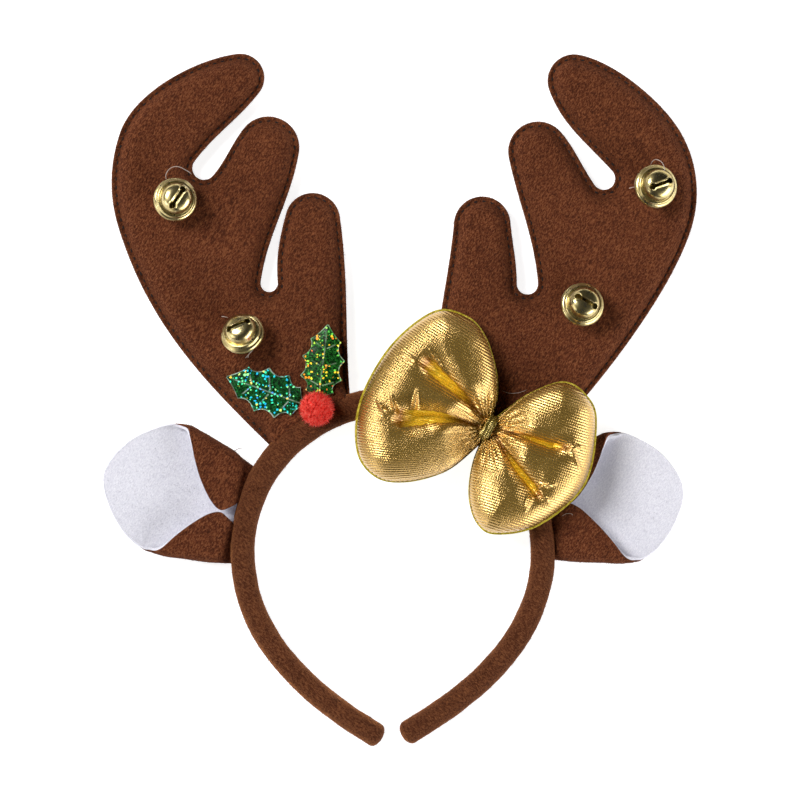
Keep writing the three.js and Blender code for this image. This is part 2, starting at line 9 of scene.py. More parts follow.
import logging
import math
import random
from dataclasses import astuple, dataclass, field
from enum import Enum
from functools import cached_property
from typing import Any, Callable, Iterable, Sequence

import bmesh
import bpy
from bmesh.types import BMesh, BMVert
from mathutils import Matrix, Vector, noise
from mathutils.geometry import delaunay_2d_cdt, interpolate_bezier, intersect_point_line
from mathutils.kdtree import KDTree

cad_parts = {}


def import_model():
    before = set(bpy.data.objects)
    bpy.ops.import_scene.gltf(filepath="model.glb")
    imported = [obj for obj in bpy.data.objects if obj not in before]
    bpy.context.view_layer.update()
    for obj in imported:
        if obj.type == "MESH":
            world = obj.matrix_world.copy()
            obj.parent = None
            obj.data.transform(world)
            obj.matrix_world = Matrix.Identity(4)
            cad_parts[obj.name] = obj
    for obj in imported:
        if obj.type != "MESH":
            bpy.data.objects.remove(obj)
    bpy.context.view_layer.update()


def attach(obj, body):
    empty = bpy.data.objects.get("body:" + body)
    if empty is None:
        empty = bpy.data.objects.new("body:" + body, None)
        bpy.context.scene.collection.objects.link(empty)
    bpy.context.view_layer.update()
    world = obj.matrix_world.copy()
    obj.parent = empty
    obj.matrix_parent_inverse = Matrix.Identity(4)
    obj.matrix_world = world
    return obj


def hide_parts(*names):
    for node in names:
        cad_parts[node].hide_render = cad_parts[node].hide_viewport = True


LOG = logging.getLogger("headband")
MM = 0.001
X = Vector((1.0, 0.0, 0.0))
Z = Vector((0.0, 0.0, 1.0))
# The distance from band to band of a wave pattern at a scale of 1
WAVE_PERIOD = math.pi / 10


class Slot(Enum):
    """The record's material slots."""

    BROWN_FELT = "brown_felt"
    WHITE_FELT = "white_felt"
    GOLD_LAME = "gold_lame"
    BOW_FELT = "bow_felt"
    BOW_WRAP = "bow_wrap"
    BELL_BRASS = "bell_brass"
    LEAF_FOIL = "leaf_foil"
    BERRY_WOOL = "berry_wool"


# Materials


def linear(colour: int) -> tuple[float, float, float, float]:
    """Turns an sRGB hex colour to linear light.

    Args:
        colour: the colour as 0xRRGGBB.

    Returns:
        Red, green, blue and an alpha of 1.
    """
    parts = [((colour >> shift) & 255) / 255 for shift in (16, 8, 0)]
    lit = [c / 12.92 if c <= 0.04045 else ((c + 0.055) / 1.055) ** 2.4 for c in parts]
    return lit[0], lit[1], lit[2], 1.0


def add(
    tree: bpy.types.NodeTree,
    kind: str,
    inputs: dict[str | int, Any] | None = None,
    stops: Sequence[tuple[float, int]] = (),
    **settings: Any,
) -> bpy.types.Node:
    """Adds a node with its settings and links.

    Args:
        tree: the tree that gets the node.
        kind: the node's type.
        inputs: for each input, a value or the socket that feeds it.
        stops: a colour ramp's positions and hex colours.
        settings: the node's own properties.

    Returns:
        The node.
    """
    node = tree.nodes.new(kind)
    for name, value in settings.items():
        setattr(node, name, value)
    for key, value in (inputs or {}).items():
        if isinstance(value, bpy.types.NodeSocket):
            tree.links.new(value, node.inputs[key])
        else:
            node.inputs[key].default_value = value
    for i, (position, colour) in enumerate(stops):
        elements = node.color_ramp.elements
        stop = elements[i] if i < len(elements) else elements.new(position)
        stop.position = position
        stop.color = linear(colour)
    return node


@dataclass(frozen=True)
class Finish:
    """A finish, which makes its material once."""

    name: str

    def wire(self, tree: bpy.types.NodeTree, shader: bpy.types.Node) -> None:
        """Adds the finish's nodes to its shader."""
        raise NotImplementedError

    def material(self) -> bpy.types.Material:
        """Gives the material, made at the first call.

        Returns:
            The material, with its nodes.
        """
        found = bpy.data.materials.get(self.name)
        if found is None:
            found = bpy.data.materials.new(self.name)
            found.use_nodes = True
            self.wire(found.node_tree, found.node_tree.nodes["Principled BSDF"])
        return found


@dataclass(frozen=True)
class Felt(Finish):
    """Needled felt: matted fibres, matt, mottled and a little lighter where it is seen edge on.

    Attributes:
        shade: the colour between the fibres.
        base: the colour of most of it.
        fibre: the colour of the fibres on top.
        sheen: how much lighter it is edge on.
        haze: how far that spreads from the edge.
        clump: the size of a clump of fibres.
        cloud: the size of the slow changes of tone.
        drift: their share of the tone.
        relief: how strongly the clumps stand out.
        height: how far they stand out.
        lie: the direction that the fibres lie in.
        stretch: how much longer than wide a clump is.
        painted_glow: painted light, the felt's own colour given off as if it were glowing, in place of light
            scattered through the wool.
        rim: the colour of the sheen, where it isn't the fibre's.
    """

    shade: int
    base: int
    fibre: int
    sheen: float = 0.12
    haze: float = 0.6
    clump: float = 0.6
    cloud: float = 9.0
    drift: float = 0.07
    relief: float = 0.8
    height: float = 0.7
    lie: float = 57.0
    stretch: float = 2.2
    painted_glow: float = 0.0
    rim: int = 0

    def wire(self, tree: bpy.types.NodeTree, shader: bpy.types.Node) -> None:
        """Mottles the colour and roughens the surface with clumps of fibre.

        Args:
            tree: the material's node tree.
            shader: its shader.
        """
        place = add(tree, "ShaderNodeTexCoord").outputs["Object"]
        nap = add(tree, "ShaderNodeMapping", {
            "Vector": place, "Rotation": (0.0, 0.0, math.radians(self.lie)),
            "Scale": (self.stretch, 1.0, 1.0),
        }, vector_type="TEXTURE")
        # Single fibres are too fine to show, so clumps of them are drawn
        clumps = add(tree, "ShaderNodeTexNoise", {
            "Vector": nap.outputs[0], "Scale": 1 / (self.clump * MM), "Detail": 3.0,
            "Roughness": 0.72, "Distortion": 0.6,
        })
        cloud = add(tree, "ShaderNodeTexNoise", {
            "Vector": place, "Scale": 1 / (self.cloud * MM), "Detail": 2.0, "Roughness": 0.5,
        })
        mixed = add(tree, "ShaderNodeMix", {
            0: self.drift, 2: clumps.outputs["Fac"], 3: cloud.outputs["Fac"],
        })
        tone = add(tree, "ShaderNodeValToRGB", {"Fac": mixed.outputs[0]}, stops=(
            (0.39, self.shade), (0.5, self.base), (0.62, self.fibre),
        ))
        bump = add(tree, "ShaderNodeBump", {
            "Height": clumps.outputs["Fac"], "Strength": self.relief, "Distance": self.height * MM,
        })
        tree.links.new(tone.outputs["Color"], shader.inputs["Base Color"])
        tree.links.new(bump.outputs["Normal"], shader.inputs["Normal"])
        shader.inputs["Roughness"].default_value = 0.95
        shader.inputs["Specular IOR Level"].default_value = 0.15
        shader.inputs["Sheen Weight"].default_value = self.sheen
        shader.inputs["Sheen Roughness"].default_value = self.haze
        shader.inputs["Sheen Tint"].default_value = linear(self.rim or self.fibre)
        # Painted light: the wool gives off its own colour, in place of the light scattered through it
        if self.painted_glow:
            tree.links.new(tone.outputs["Color"], shader.inputs["Emission Color"])
            shader.inputs["Emission Strength"].default_value = self.painted_glow


@dataclass(frozen=True)
class Lame(Finish):
    """Knitted lame: flat metallised yarn in ribs, which break up each highlight into rows of stitches.

    Attributes:
        bright: the colour of the yarn.
        crease: the painted shade on the way into a fold.
        deep: the painted amber on the floor of a fold, standing in for light reflected to and fro in it.
        shade: the painted shade between the ribs.
        rib: the distance from rib to rib.
        stitch: the distance from stitch to stitch along a rib.
        grain: the size of the unevenness of the yarn.
        relief: how strongly the ribs stand out.
        height: how far they stand out.
        smooth: the least roughness.
        rough: the most.
    """

    bright: int
    crease: int
    deep: int
    shade: int
    rib: float = 1.2
    stitch: float = 0.96
    grain: float = 0.55
    relief: float = 0.78
    height: float = 0.22
    smooth: float = 0.15
    rough: float = 0.34

    def wire(self, tree: bpy.types.NodeTree, shader: bpy.types.Node) -> None:
        """Draws the ribs along the cloth's own directions, with stitches and grain.

        Args:
            tree: the material's node tree.
            shader: its shader.
        """
        cloth = add(tree, "ShaderNodeUVMap", uv_map="cloth").outputs["UV"]
        ribs = add(tree, "ShaderNodeTexWave", {
            "Vector": cloth, "Scale": WAVE_PERIOD / (self.rib * MM), "Distortion": 0.5, "Detail": 1.0,
        }, bands_direction="Y")
        stitches = add(tree, "ShaderNodeTexWave", {
            "Vector": cloth, "Scale": WAVE_PERIOD / (self.stitch * MM), "Distortion": 2.5, "Detail": 2.0,
        }, bands_direction="X")
        grain = add(tree, "ShaderNodeTexNoise", {
            "Vector": cloth, "Scale": 1 / (self.grain * MM), "Detail": 3.0, "Roughness": 0.7,
        })
        knit = add(tree, "ShaderNodeMath", {
            0: stitches.outputs["Fac"], 1: 0.2, 2: ribs.outputs["Fac"],
        }, operation="MULTIPLY_ADD")
        height = add(tree, "ShaderNodeMath", {
            0: grain.outputs["Fac"], 1: 0.6, 2: knit.outputs[0],
        }, operation="MULTIPLY_ADD")
        bump = add(tree, "ShaderNodeBump", {
            "Height": height.outputs[0], "Strength": self.relief, "Distance": self.height * MM,
        })
        fold = add(tree, "ShaderNodeAttribute", attribute_name="fold")
        # Painted shade darkens the cloth into a crease, and painted amber, standing in for light reflected
        # to and fro, fills the fold's floor
        gold = add(tree, "ShaderNodeValToRGB", {"Fac": fold.outputs["Fac"]}, stops=(
            (0.0, self.bright), (0.5, self.crease), (1.0, self.deep),
        ))
        # Painted shade darkens the grooves between the ribs
        groove = add(tree, "ShaderNodeMapRange", {
            "Value": knit.outputs[0], "From Min": 0.1, "From Max": 0.55, "To Min": 0.4, "To Max": 0.0,
        })
        tone = add(tree, "ShaderNodeMix", {
            0: groove.outputs[0], 6: gold.outputs["Color"], 7: linear(self.shade),
        }, data_type="RGBA")
        gloss = add(tree, "ShaderNodeMapRange", {
            "Value": grain.outputs["Fac"], "From Min": 0.3, "From Max": 0.7,
            "To Min": self.smooth, "To Max": self.rough,
        })
        tree.links.new(tone.outputs[2], shader.inputs["Base Color"])
        # Deep in a fold the metal is lowered, so that the painted amber shows more than what it mirrors
        metal = add(tree, "ShaderNodeMapRange", {
            "Value": fold.outputs["Fac"], "To Min": 0.78, "To Max": 0.4,
        })
        tree.links.new(metal.outputs[0], shader.inputs["Metallic"])
        tree.links.new(gloss.outputs[0], shader.inputs["Roughness"])
        tree.links.new(bump.outputs["Normal"], shader.inputs["Normal"])
        tree.links.new(bump.outputs["Normal"], shader.inputs["Coat Normal"])
        film = add(tree, "ShaderNodeMapRange", {
            "Value": fold.outputs["Fac"], "To Min": 0.6, "To Max": 0.15,
        })
        tree.links.new(film.outputs[0], shader.inputs["Coat Weight"])
        shader.inputs["Coat Roughness"].default_value = 0.2
        shader.inputs["Coat IOR"].default_value = 1.9


@dataclass(frozen=True)
class Brass(Finish):
    """Pressed sheet brass, plated and tumbled: a pale mirror with faint clouds of handling.

    Attributes:
        bright: the colour of the clean plating.
        dull: the colour in the clouds.
        cloud: the size of a cloud.
        dent: the size of the dents, which are slight.
        smooth: the least roughness.
        rough: the most.
    """

    bright: int
    dull: int
    cloud: float = 3.0
    dent: float = 4.5
    smooth: float = 0.24
    rough: float = 0.32

    def wire(self, tree: bpy.types.NodeTree, shader: bpy.types.Node) -> None:
        """Clouds the plating's colour and gloss.

        Args:
            tree: the material's node tree.
            shader: its shader.
        """
        place = add(tree, "ShaderNodeTexCoord").outputs["Object"]
        cloud = add(tree, "ShaderNodeTexNoise", {
            "Vector": place, "Scale": 1 / (self.cloud * MM), "Detail": 4.0,
        })
        dents = add(tree, "ShaderNodeTexNoise", {
            "Vector": place, "Scale": 1 / (self.dent * MM), "Detail": 1.0,
        })
        tone = add(tree, "ShaderNodeValToRGB", {"Fac": cloud.outputs["Fac"]}, stops=(
            (0.3, self.dull), (0.62, self.bright),
        ))
        gloss = add(tree, "ShaderNodeMapRange", {
            "Value": cloud.outputs["Fac"], "From Min": 0.35, "From Max": 0.7,
            "To Min": self.rough, "To Max": self.smooth,
        })
        bump = add(tree, "ShaderNodeBump", {
            "Height": dents.outputs["Fac"], "Strength": 0.05, "Distance": 0.5 * MM,
        })
        tree.links.new(tone.outputs["Color"], shader.inputs["Base Color"])
        tree.links.new(gloss.outputs[0], shader.inputs["Roughness"])
        tree.links.new(bump.outputs["Normal"], shader.inputs["Normal"])
        shader.inputs["Metallic"].default_value = 1.0


@dataclass(frozen=True)
class Foil(Finish):
    """Holographic PVC foil: deep green film over embossed dots, each of which flashes one colour, drawn as a
    painted glint that gives off light.

    Attributes:
        film: the colour of the film.
        lit: its colour where it is lit.
        edge: the colour of the painted highlight on the veins and the edge.
        sparkles: the colours of the painted glints, each with its place on a scale of 0 to 1.
        dot: the distance between the dots, drawn coarse enough to show.
        share: the share of the dots that flash.
        ragged: how far the crumpled film moves the dots' edges.
        crackle: the size of the crackle between the dots.
        gleam: the length of vein that gets the painted highlight.
    """

    film: int
    lit: int
    edge: int
    sparkles: tuple[tuple[float, int], ...]
    dot: float = 1.35
    share: float = 0.6
    ragged: float = 1.0
    crackle: float = 1.3
    gleam: float = 4.0

    def wire(self, tree: bpy.types.NodeTree, shader: bpy.types.Node) -> None:
        """Scatters painted glints, which give off their colour as light, and paints highlights on the
        pressed veins and the edge.

        Args:
            tree: the material's node tree.
            shader: its shader.
        """
        place = add(tree, "ShaderNodeTexCoord").outputs["Object"]
        # Ragged dots, as the foil is crumpled
        ragged = add(tree, "ShaderNodeTexNoise", {
            "Vector": place, "Scale": 1 / (0.9 * self.ragged * MM), "Detail": 2.0,
        })
        moved = add(tree, "ShaderNodeVectorMath", {
            0: ragged.outputs["Color"], 1: (self.ragged * MM,) * 3, 2: place,
        }, operation="MULTIPLY_ADD")
        # Painted glints: some dots get a bright colour of their own in place of reflected light
        dots = add(tree, "ShaderNodeTexVoronoi", {"Vector": moved.outputs[0], "Scale": 1 / (self.dot * MM)})
        chance = add(tree, "ShaderNodeSeparateColor", {0: dots.outputs["Color"]})
        chosen = add(tree, "ShaderNodeMath", {
            0: chance.outputs[0], 1: 1 - self.share,
        }, operation="GREATER_THAN")
        size = add(tree, "ShaderNodeMath", {
            0: chance.outputs[2], 1: 0.32, 2: 0.18,
        }, operation="MULTIPLY_ADD")
        nearer = add(tree, "ShaderNodeMath", {
            0: dots.outputs["Distance"], 1: size.outputs[0],
        }, operation="LESS_THAN")
        painted_glint = add(tree, "ShaderNodeMath", {
            0: chosen.outputs[0], 1: nearer.outputs[0],
        }, operation="MULTIPLY")
        hue = add(tree, "ShaderNodeValToRGB", {"Fac": chance.outputs[1]}, stops=self.sparkles)
        # Fine crackle between the flashes, half dark and half lit green
        cloud = add(tree, "ShaderNodeTexNoise", {
            "Vector": place, "Scale": 1 / (self.crackle * MM), "Detail": 3.0, "Roughness": 0.75,
            "Distortion": 1.5,
        })
        film = add(tree, "ShaderNodeValToRGB", {"Fac": cloud.outputs["Fac"]}, stops=(
            (0.42, 0x020A05), (0.5, self.film), (0.62, self.lit),
        ))
        lit = add(tree, "ShaderNodeMix", {
            0: painted_glint.outputs[0], 6: film.outputs["Color"], 7: hue.outputs["Color"],
        }, data_type="RGBA")
        relief = add(tree, "ShaderNodeAttribute", attribute_name="relief")
        # A painted highlight on the veins and the edge, in places only
        gleam = add(tree, "ShaderNodeTexNoise", {
            "Vector": place, "Scale": 1 / (self.gleam * MM), "Detail": 1.0,
        })
        painted_vein_highlight = add(tree, "ShaderNodeMapRange", {
            "Value": gleam.outputs["Fac"], "From Min": 0.4, "From Max": 0.6, "To Min": 0.25, "To Max": 1.0,
        })
        pale = add(tree, "ShaderNodeMath", {
            0: relief.outputs["Fac"], 1: painted_vein_highlight.outputs[0],
        }, operation="MULTIPLY")
        tone = add(tree, "ShaderNodeMix", {
            0: pale.outputs[0], 6: lit.outputs[2], 7: linear(self.edge),
        }, data_type="RGBA")
        # The painted glints also give off their colour as light
        painted_glow = add(tree, "ShaderNodeMix", {
            0: painted_glint.outputs[0], 6: (0.0, 0.0, 0.0, 1.0), 7: hue.outputs["Color"],
        }, data_type="RGBA")
        tree.links.new(tone.outputs[2], shader.inputs["Base Color"])
        tree.links.new(painted_glow.outputs[2], shader.inputs["Emission Color"])
        shader.inputs["Emission Strength"].default_value = 0.7
        shader.inputs["Roughness"].default_value = 0.4
        shader.inputs["Specular IOR Level"].default_value = 0.12
        shader.inputs["Coat Weight"].default_value = 0.08
        shader.inputs["Coat Roughness"].default_value = 0.15


@dataclass(frozen=True)
class Thread(Finish):
    """Sewing thread: twisted yarn, matt for cotton and clear for nylon.

    Attributes:
        colour: the colour of the yarn, darker in the twist.
        rough: its roughness.
        clear: how clear it is.
        twist: the length of a twist.
    """

    colour: int
    rough: float = 0.8
    clear: float = 0.0
    twist: float = 0.6

    def wire(self, tree: bpy.types.NodeTree, shader: bpy.types.Node) -> None:
        """Varies the colour a little along the thread.

        Args:
            tree: the material's node tree.
            shader: its shader.
        """
        place = add(tree, "ShaderNodeTexCoord").outputs["Object"]
        twist = add(tree, "ShaderNodeTexNoise", {
            "Vector": place, "Scale": 1 / (self.twist * MM), "Detail": 2.0,
        })
        yarn = linear(self.colour)
        tone = add(tree, "ShaderNodeMix", {
            0: twist.outputs["Fac"], 6: yarn, 7: tuple(0.6 * c for c in yarn),
        }, data_type="RGBA")
        tree.links.new(tone.outputs[2], shader.inputs["Base Color"])
        shader.inputs["Roughness"].default_value = self.rough
        shader.inputs["Transmission Weight"].default_value = self.clear


BROWN = Felt("needled_felt_brown", shade=0x3C1C0D, base=0x5E301A, fibre=0x885031)
WRAPPED = Felt(
    "wrapped_felt_brown", shade=0x43210E, base=0x5A311C, fibre=0x7E4C2D,
    sheen=1.0, haze=0.3, lie=-40.0, rim=0xD58A52,
)
WHITE = Felt(
    "needled_felt_white", shade=0xDCDBE6, base=0xE8E7F0, fibre=0xF4F3FA,
    sheen=0.1, clump=0.5, relief=0.3,
)
YELLOW = Felt("needled_felt_yellow", shade=0x8E7A14, base=0xC2AE30, fibre=0xE0D05A, sheen=0.15)
# The red wool also gives off its colour as painted light
RED = Felt("wool_red", shade=0xB81D18, base=0xFC443A, fibre=0xFF8070, sheen=0.1, clump=1.1, painted_glow=0.15)
# The gold's crease colour is painted shade, its deep colour painted amber reflection, and its shade colour
# painted shade between the ribs
GOLD = Lame("knitted_lame_gold", bright=0xDAAE54, crease=0x9A6410, deep=0xFFD83E, shade=0x6E5018)
# The wrap's shade colour is painted shade between its ribs
WRAP = Lame(
    "twisted_lame_gold", bright=0xA48C30, crease=0x8A7424, deep=0x6E5B18, shade=0x4E400F,
    rib=0.9, stitch=0.72, relief=0.7,
)
BELL_METAL = Brass("tumbled_brass", bright=0xDCCB94, dull=0xBCA86C)
# Each foil's edge colour is a painted highlight, and its sparkle colours are painted glints
COOL_FOIL = Foil("foil_green_cool", film=0x0F3A16, lit=0x1F7A36, edge=0xCDE8D8, sparkles=(
    (0.0, 0x1E7FD0), (0.3, 0x22C6C8), (0.62, 0x38E0A0), (0.86, 0x9BF090), (0.97, 0xF2D23A),
))
WARM_FOIL = Foil("foil_green_warm", film=0x0E3A10, lit=0x2E8632, edge=0xBFE0B6, share=0.5, sparkles=(
    (0.0, 0x2FA04A), (0.35, 0x6FD04A), (0.55, 0xF2E63A), (0.78, 0xF5A81E), (0.95, 0xF06A2A),
))
DARK_THREAD = Thread("cotton_thread_brown", colour=0x140804)
CLEAR_THREAD = Thread("nylon_thread_clear", colour=0xE8D9CE, rough=0.3, clear=0.25)


# Shapes


class Line:
    """A line through points, read by the distance along it."""

    def __init__(self, points: Sequence[Vector]) -> None:
        """Measures the line.

        Args:
            points: the points that it goes through.
        """
        self.points = list(points)
        self.marks = [0.0]
        for a, b in zip(self.points, self.points[1:]):
            self.marks.append(self.marks[-1] + (b - a).length)
        self.length = self.marks[-1]

    def at(self, distance: float) -> tuple[Vector, Vector]:
        """Finds a place on the line.

        Args:
            distance: how far along it, from its start.

        Returns:
            The point, and the direction of the line there.
        """
        low, high = 0, len(self.marks) - 2
        while low < high:
            middle = (low + high + 1) // 2
            if self.marks[middle] <= distance:
                low = middle
            else:
                high = middle - 1
        a, b = self.points[low], self.points[low + 1]
        span = max(self.marks[low + 1] - self.marks[low], 1e-9)
        return a.lerp(b, (distance - self.marks[low]) / span), (b - a).normalized()

    def off(self, point: Vector) -> tuple[float, float]:
        """Measures how far a point is from the line.

        Args:
            point: the point.

        Returns:
            The distance, and the nearest place as a share of the line's length.
        """
        best, share = math.inf, 0.0
        for i, (a, b) in enumerate(zip(self.points, self.points[1:])):
            _, part = intersect_point_line(point, a, b)
            part = min(1.0, max(0.0, part))
            away = (a.lerp(b, part) - point).length
            if away < best:
                best = away
                share = (self.marks[i] + part * (self.marks[i + 1] - self.marks[i])) / self.length
        return best, share


def smoothstep(value: float, low: float, high: float) -> float:
    """Goes smoothly from 0 at low to 1 at high."""
    part = min(1.0, max(0.0, (value - low) / (high - low)))
    return part * part * (3 - 2 * part)


def lerp(a: float, b: float, part: float) -> float:
    """Goes evenly from a to b."""
    return a + (b - a) * part


def polar(angle: float, radius: float = 1.0) -> Vector:
    """Gives the flat vector at an angle."""
    turn = math.radians(angle)
    return Vector((radius * math.cos(turn), radius * math.sin(turn), 0.0))


def spline(knots: Sequence[Vector], steps: int) -> list[Vector]:
    """Runs a smooth curve through knots.

    Args:
        knots: the points to go through.
        steps: points for each stretch between two knots.

    Returns:
        The curve's points.
    """
    points = []
    last = len(knots) - 1
    for i in range(last):
        p = [knots[max(0, i - 1)], knots[i], knots[i + 1], knots[min(last, i + 2)]]
        for k in range(steps):
            t = k / steps
            points.append(
                p[1]
                + (p[2] - p[0]) * (0.5 * t)
                + (p[0] * 2 - p[1] * 5 + p[2] * 4 - p[3]) * (0.5 * t * t)
                + (p[1] * 3 - p[0] - p[2] * 3 + p[3]) * (0.5 * t * t * t)
            )
    return [*points, knots[-1].copy()]


def mapped_grid(across: int, along: int, place: Callable[[float, float], Vector]) -> BMesh:
    """Lays a grid over a surface, and joins its edges where they meet.

    Args:
        across: faces in the first direction.
        along: faces in the second direction.
        place: the point for each pair of shares from 0 to 1.

    Returns:
        The mesh.
    """
    bm = bmesh.new()
    bmesh.ops.create_grid(bm, x_segments=across, y_segments=along, size=0.5)
    for vert in bm.verts:
        vert.co = place(vert.co.x + 0.5, vert.co.y + 0.5)
    bmesh.ops.remove_doubles(bm, verts=bm.verts, dist=1e-4)
    bmesh.ops.recalc_face_normals(bm, faces=bm.faces)
    return bm


def tube(line: Line, radius: float, sides: int, steps: int) -> BMesh:
    """Makes a round tube along a line, tapered to a point at both ends.

    Args:
        line: the tube's middle.
        radius: its radius.
        sides: faces round it.
        steps: faces along it.

    Returns:
        The mesh.
    """
    steep, taper = 0.9, 12

    def place(u: float, v: float) -> Vector:
        """Puts a corner of the grid on the tube.

        Args:
            u: its share of the way round.
            v: its share of the way along.

        Returns:
            The point.
        """
        middle, ahead = line.at(v * line.length)
        side = ahead.cross(Z if abs(ahead.z) < steep else X)
        side.normalize()
        turn = 2 * math.pi * u
        thick = radius * min(1.0, taper * v, taper * (1 - v))
        return middle + (side * math.cos(turn) + side.cross(ahead) * math.sin(turn)) * thick

    return mapped_grid(sides, steps, place)


def start_loop(bm: BMesh, points: Sequence[Vector]) -> list[BMVert]:
    """Starts a closed loop of edges through points.

    Args:
        bm: the mesh.
        points: where the loop goes.

    Returns:
        The loop's vertices, in the same order.
    """
    loop = bmesh.ops.create_circle(bm, segments=len(points), radius=1.0)["verts"]
    for vert, point in zip(loop, points):
        vert.co = point
    return loop


def loop_edges(bm: BMesh, loop: Sequence[BMVert]) -> list[bmesh.types.BMEdge]:
    """Gives the edges round a closed loop of vertices."""
    return [bm.edges.get((a, b)) for a, b in zip(loop, [*loop[1:], loop[0]])]


def extend(bm: BMesh, loop: Sequence[BMVert], points: Sequence[Vector]) -> list[BMVert]:
    """Extrudes a closed loop to new points.

    Args:
        bm: the mesh.
        loop: the loop's vertices.
        points: where each of them goes.

    Returns:
        The new loop's vertices, in the same order.
    """
    made = bmesh.ops.extrude_edge_only(bm, edges=loop_edges(bm, loop))["geom"]
    fresh = {vert for vert in made if isinstance(vert, BMVert)}
    ahead = []
    for vert, point in zip(loop, points):
        mate = next(e.other_vert(vert) for e in vert.link_edges if e.other_vert(vert) in fresh)
        mate.co = point
        ahead.append(mate)
    return ahead


def fill_even(bm: BMesh, loop: Sequence[BMVert], spacing: float) -> None:
    """Fills a flat closed loop with even triangles.

    Args:
        bm: the mesh.
        loop: the loop's vertices.
        spacing: the distance between the new points inside.
    """
    rim = [vert.co.copy() for vert in loop]
    height = rim[0].z
    # The height of an even triangle as a share of its side, and the room kept clear at the rim
    tall, clear = 0.866, 0.7 * spacing
    near = KDTree(len(rim))
    for i, point in enumerate(rim):
        near.insert(point, i)
    near.balance()
    low = Vector([min(p[k] for p in rim) for k in (0, 1)])
    high = Vector([max(p[k] for p in rim) for k in (0, 1)])
    flat = [point.to_2d() for point in rim]
    for row in range(int((high.y - low.y) / (spacing * tall)) + 1):
        for column in range(int((high.x - low.x) / spacing) + 1):
            point = low + Vector(((column + row % 2 / 2) * spacing, row * spacing * tall))
            if near.find((point.x, point.y, height))[2] > clear:
                flat.append(point)
    ties = [(i, (i + 1) % len(rim)) for i in range(len(rim))]
    spots, _, faces, sources, _, _ = delaunay_2d_cdt(flat, ties, [], 1, 1e-5)
    known: dict[int, BMVert] = {}
    for i, source in enumerate(sources):
        for index in source:
            if index < len(rim):
                known[i] = loop[index]
    for face in faces:
        for i in face:
            if i not in known:
                known[i] = bm.verts.new((spots[i].x, spots[i].y, height))
        corners = [known[i] for i in face]
        if len(set(corners)) == 3 and bm.faces.get(corners) is None:
            bm.faces.new(corners)


def settle(bm: BMesh) -> None:
    """Sorts a mesh's faces by their middles, because extruding and spinning leave them in any order.

    Args:
        bm: the mesh.
    """
    ordered = sorted(bm.faces, key=lambda face: tuple(face.calc_center_median()))
    for rank, face in enumerate(ordered):
        face.index = rank
    bm.faces.sort()


def inward(outline: Sequence[Vector]) -> list[Vector]:
    """Gives the inward direction at each point of an outline.

    Args:
        outline: the points, anticlockwise.

    Returns:
        A unit vector for each of them.
    """
    count = len(outline)
    ways = []
    for i in range(count):
        run = (outline[(i + 1) % count] - outline[i - 1]).normalized()
        ways.append(Vector((-run.y, run.x, 0.0)))
    return ways


def many(count: int, make: Callable[[BMesh, int], None], batch: int = 200) -> BMesh:
    """Makes a mesh of many small solids, a batch at a time.

    Args:
        count: how many there are.
        make: adds one solid to a mesh.
        batch: how many are made before they are put away.

    Returns:
        The mesh.
    """
    total = bmesh.new()
    for start in range(0, count, batch):
        part = bmesh.new()
        for i in range(start, min(start + batch, count)):
            make(part, i)
        scratch = bpy.data.meshes.new("scratch")
        part.to_mesh(scratch)
        part.free()
        total.from_mesh(scratch)
        bpy.data.meshes.remove(scratch)
    return total


def piece(
    name: str,
    bm: BMesh,
    finish: Finish,
    slot: Slot,
    replaces: Iterable[str] = (),
) -> bpy.types.Object:
    """Makes a mesh a piece of the headband.

    Args:
        name: the piece's name.
        bm: its mesh in millimetres, which is used up.
        finish: its finish.
        slot: the record's slot for it, which is not used.
        replaces: the solids that it stands for.

    Returns:
        The object.
    """
    bmesh.ops.scale(bm, vec=Vector((MM, MM, MM)), verts=bm.verts)
    mesh = bpy.data.meshes.new(name)
    bm.to_mesh(mesh)
    bm.free()
    mesh.shade_smooth()
    mesh.materials.append(finish.material())
    made = bpy.data.objects.new(name, mesh)
    bpy.context.scene.collection.objects.link(made)
    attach(made, "root")
    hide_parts(*replaces)
    LOG.info("%s: %d faces", name, len(mesh.polygons))
    return made


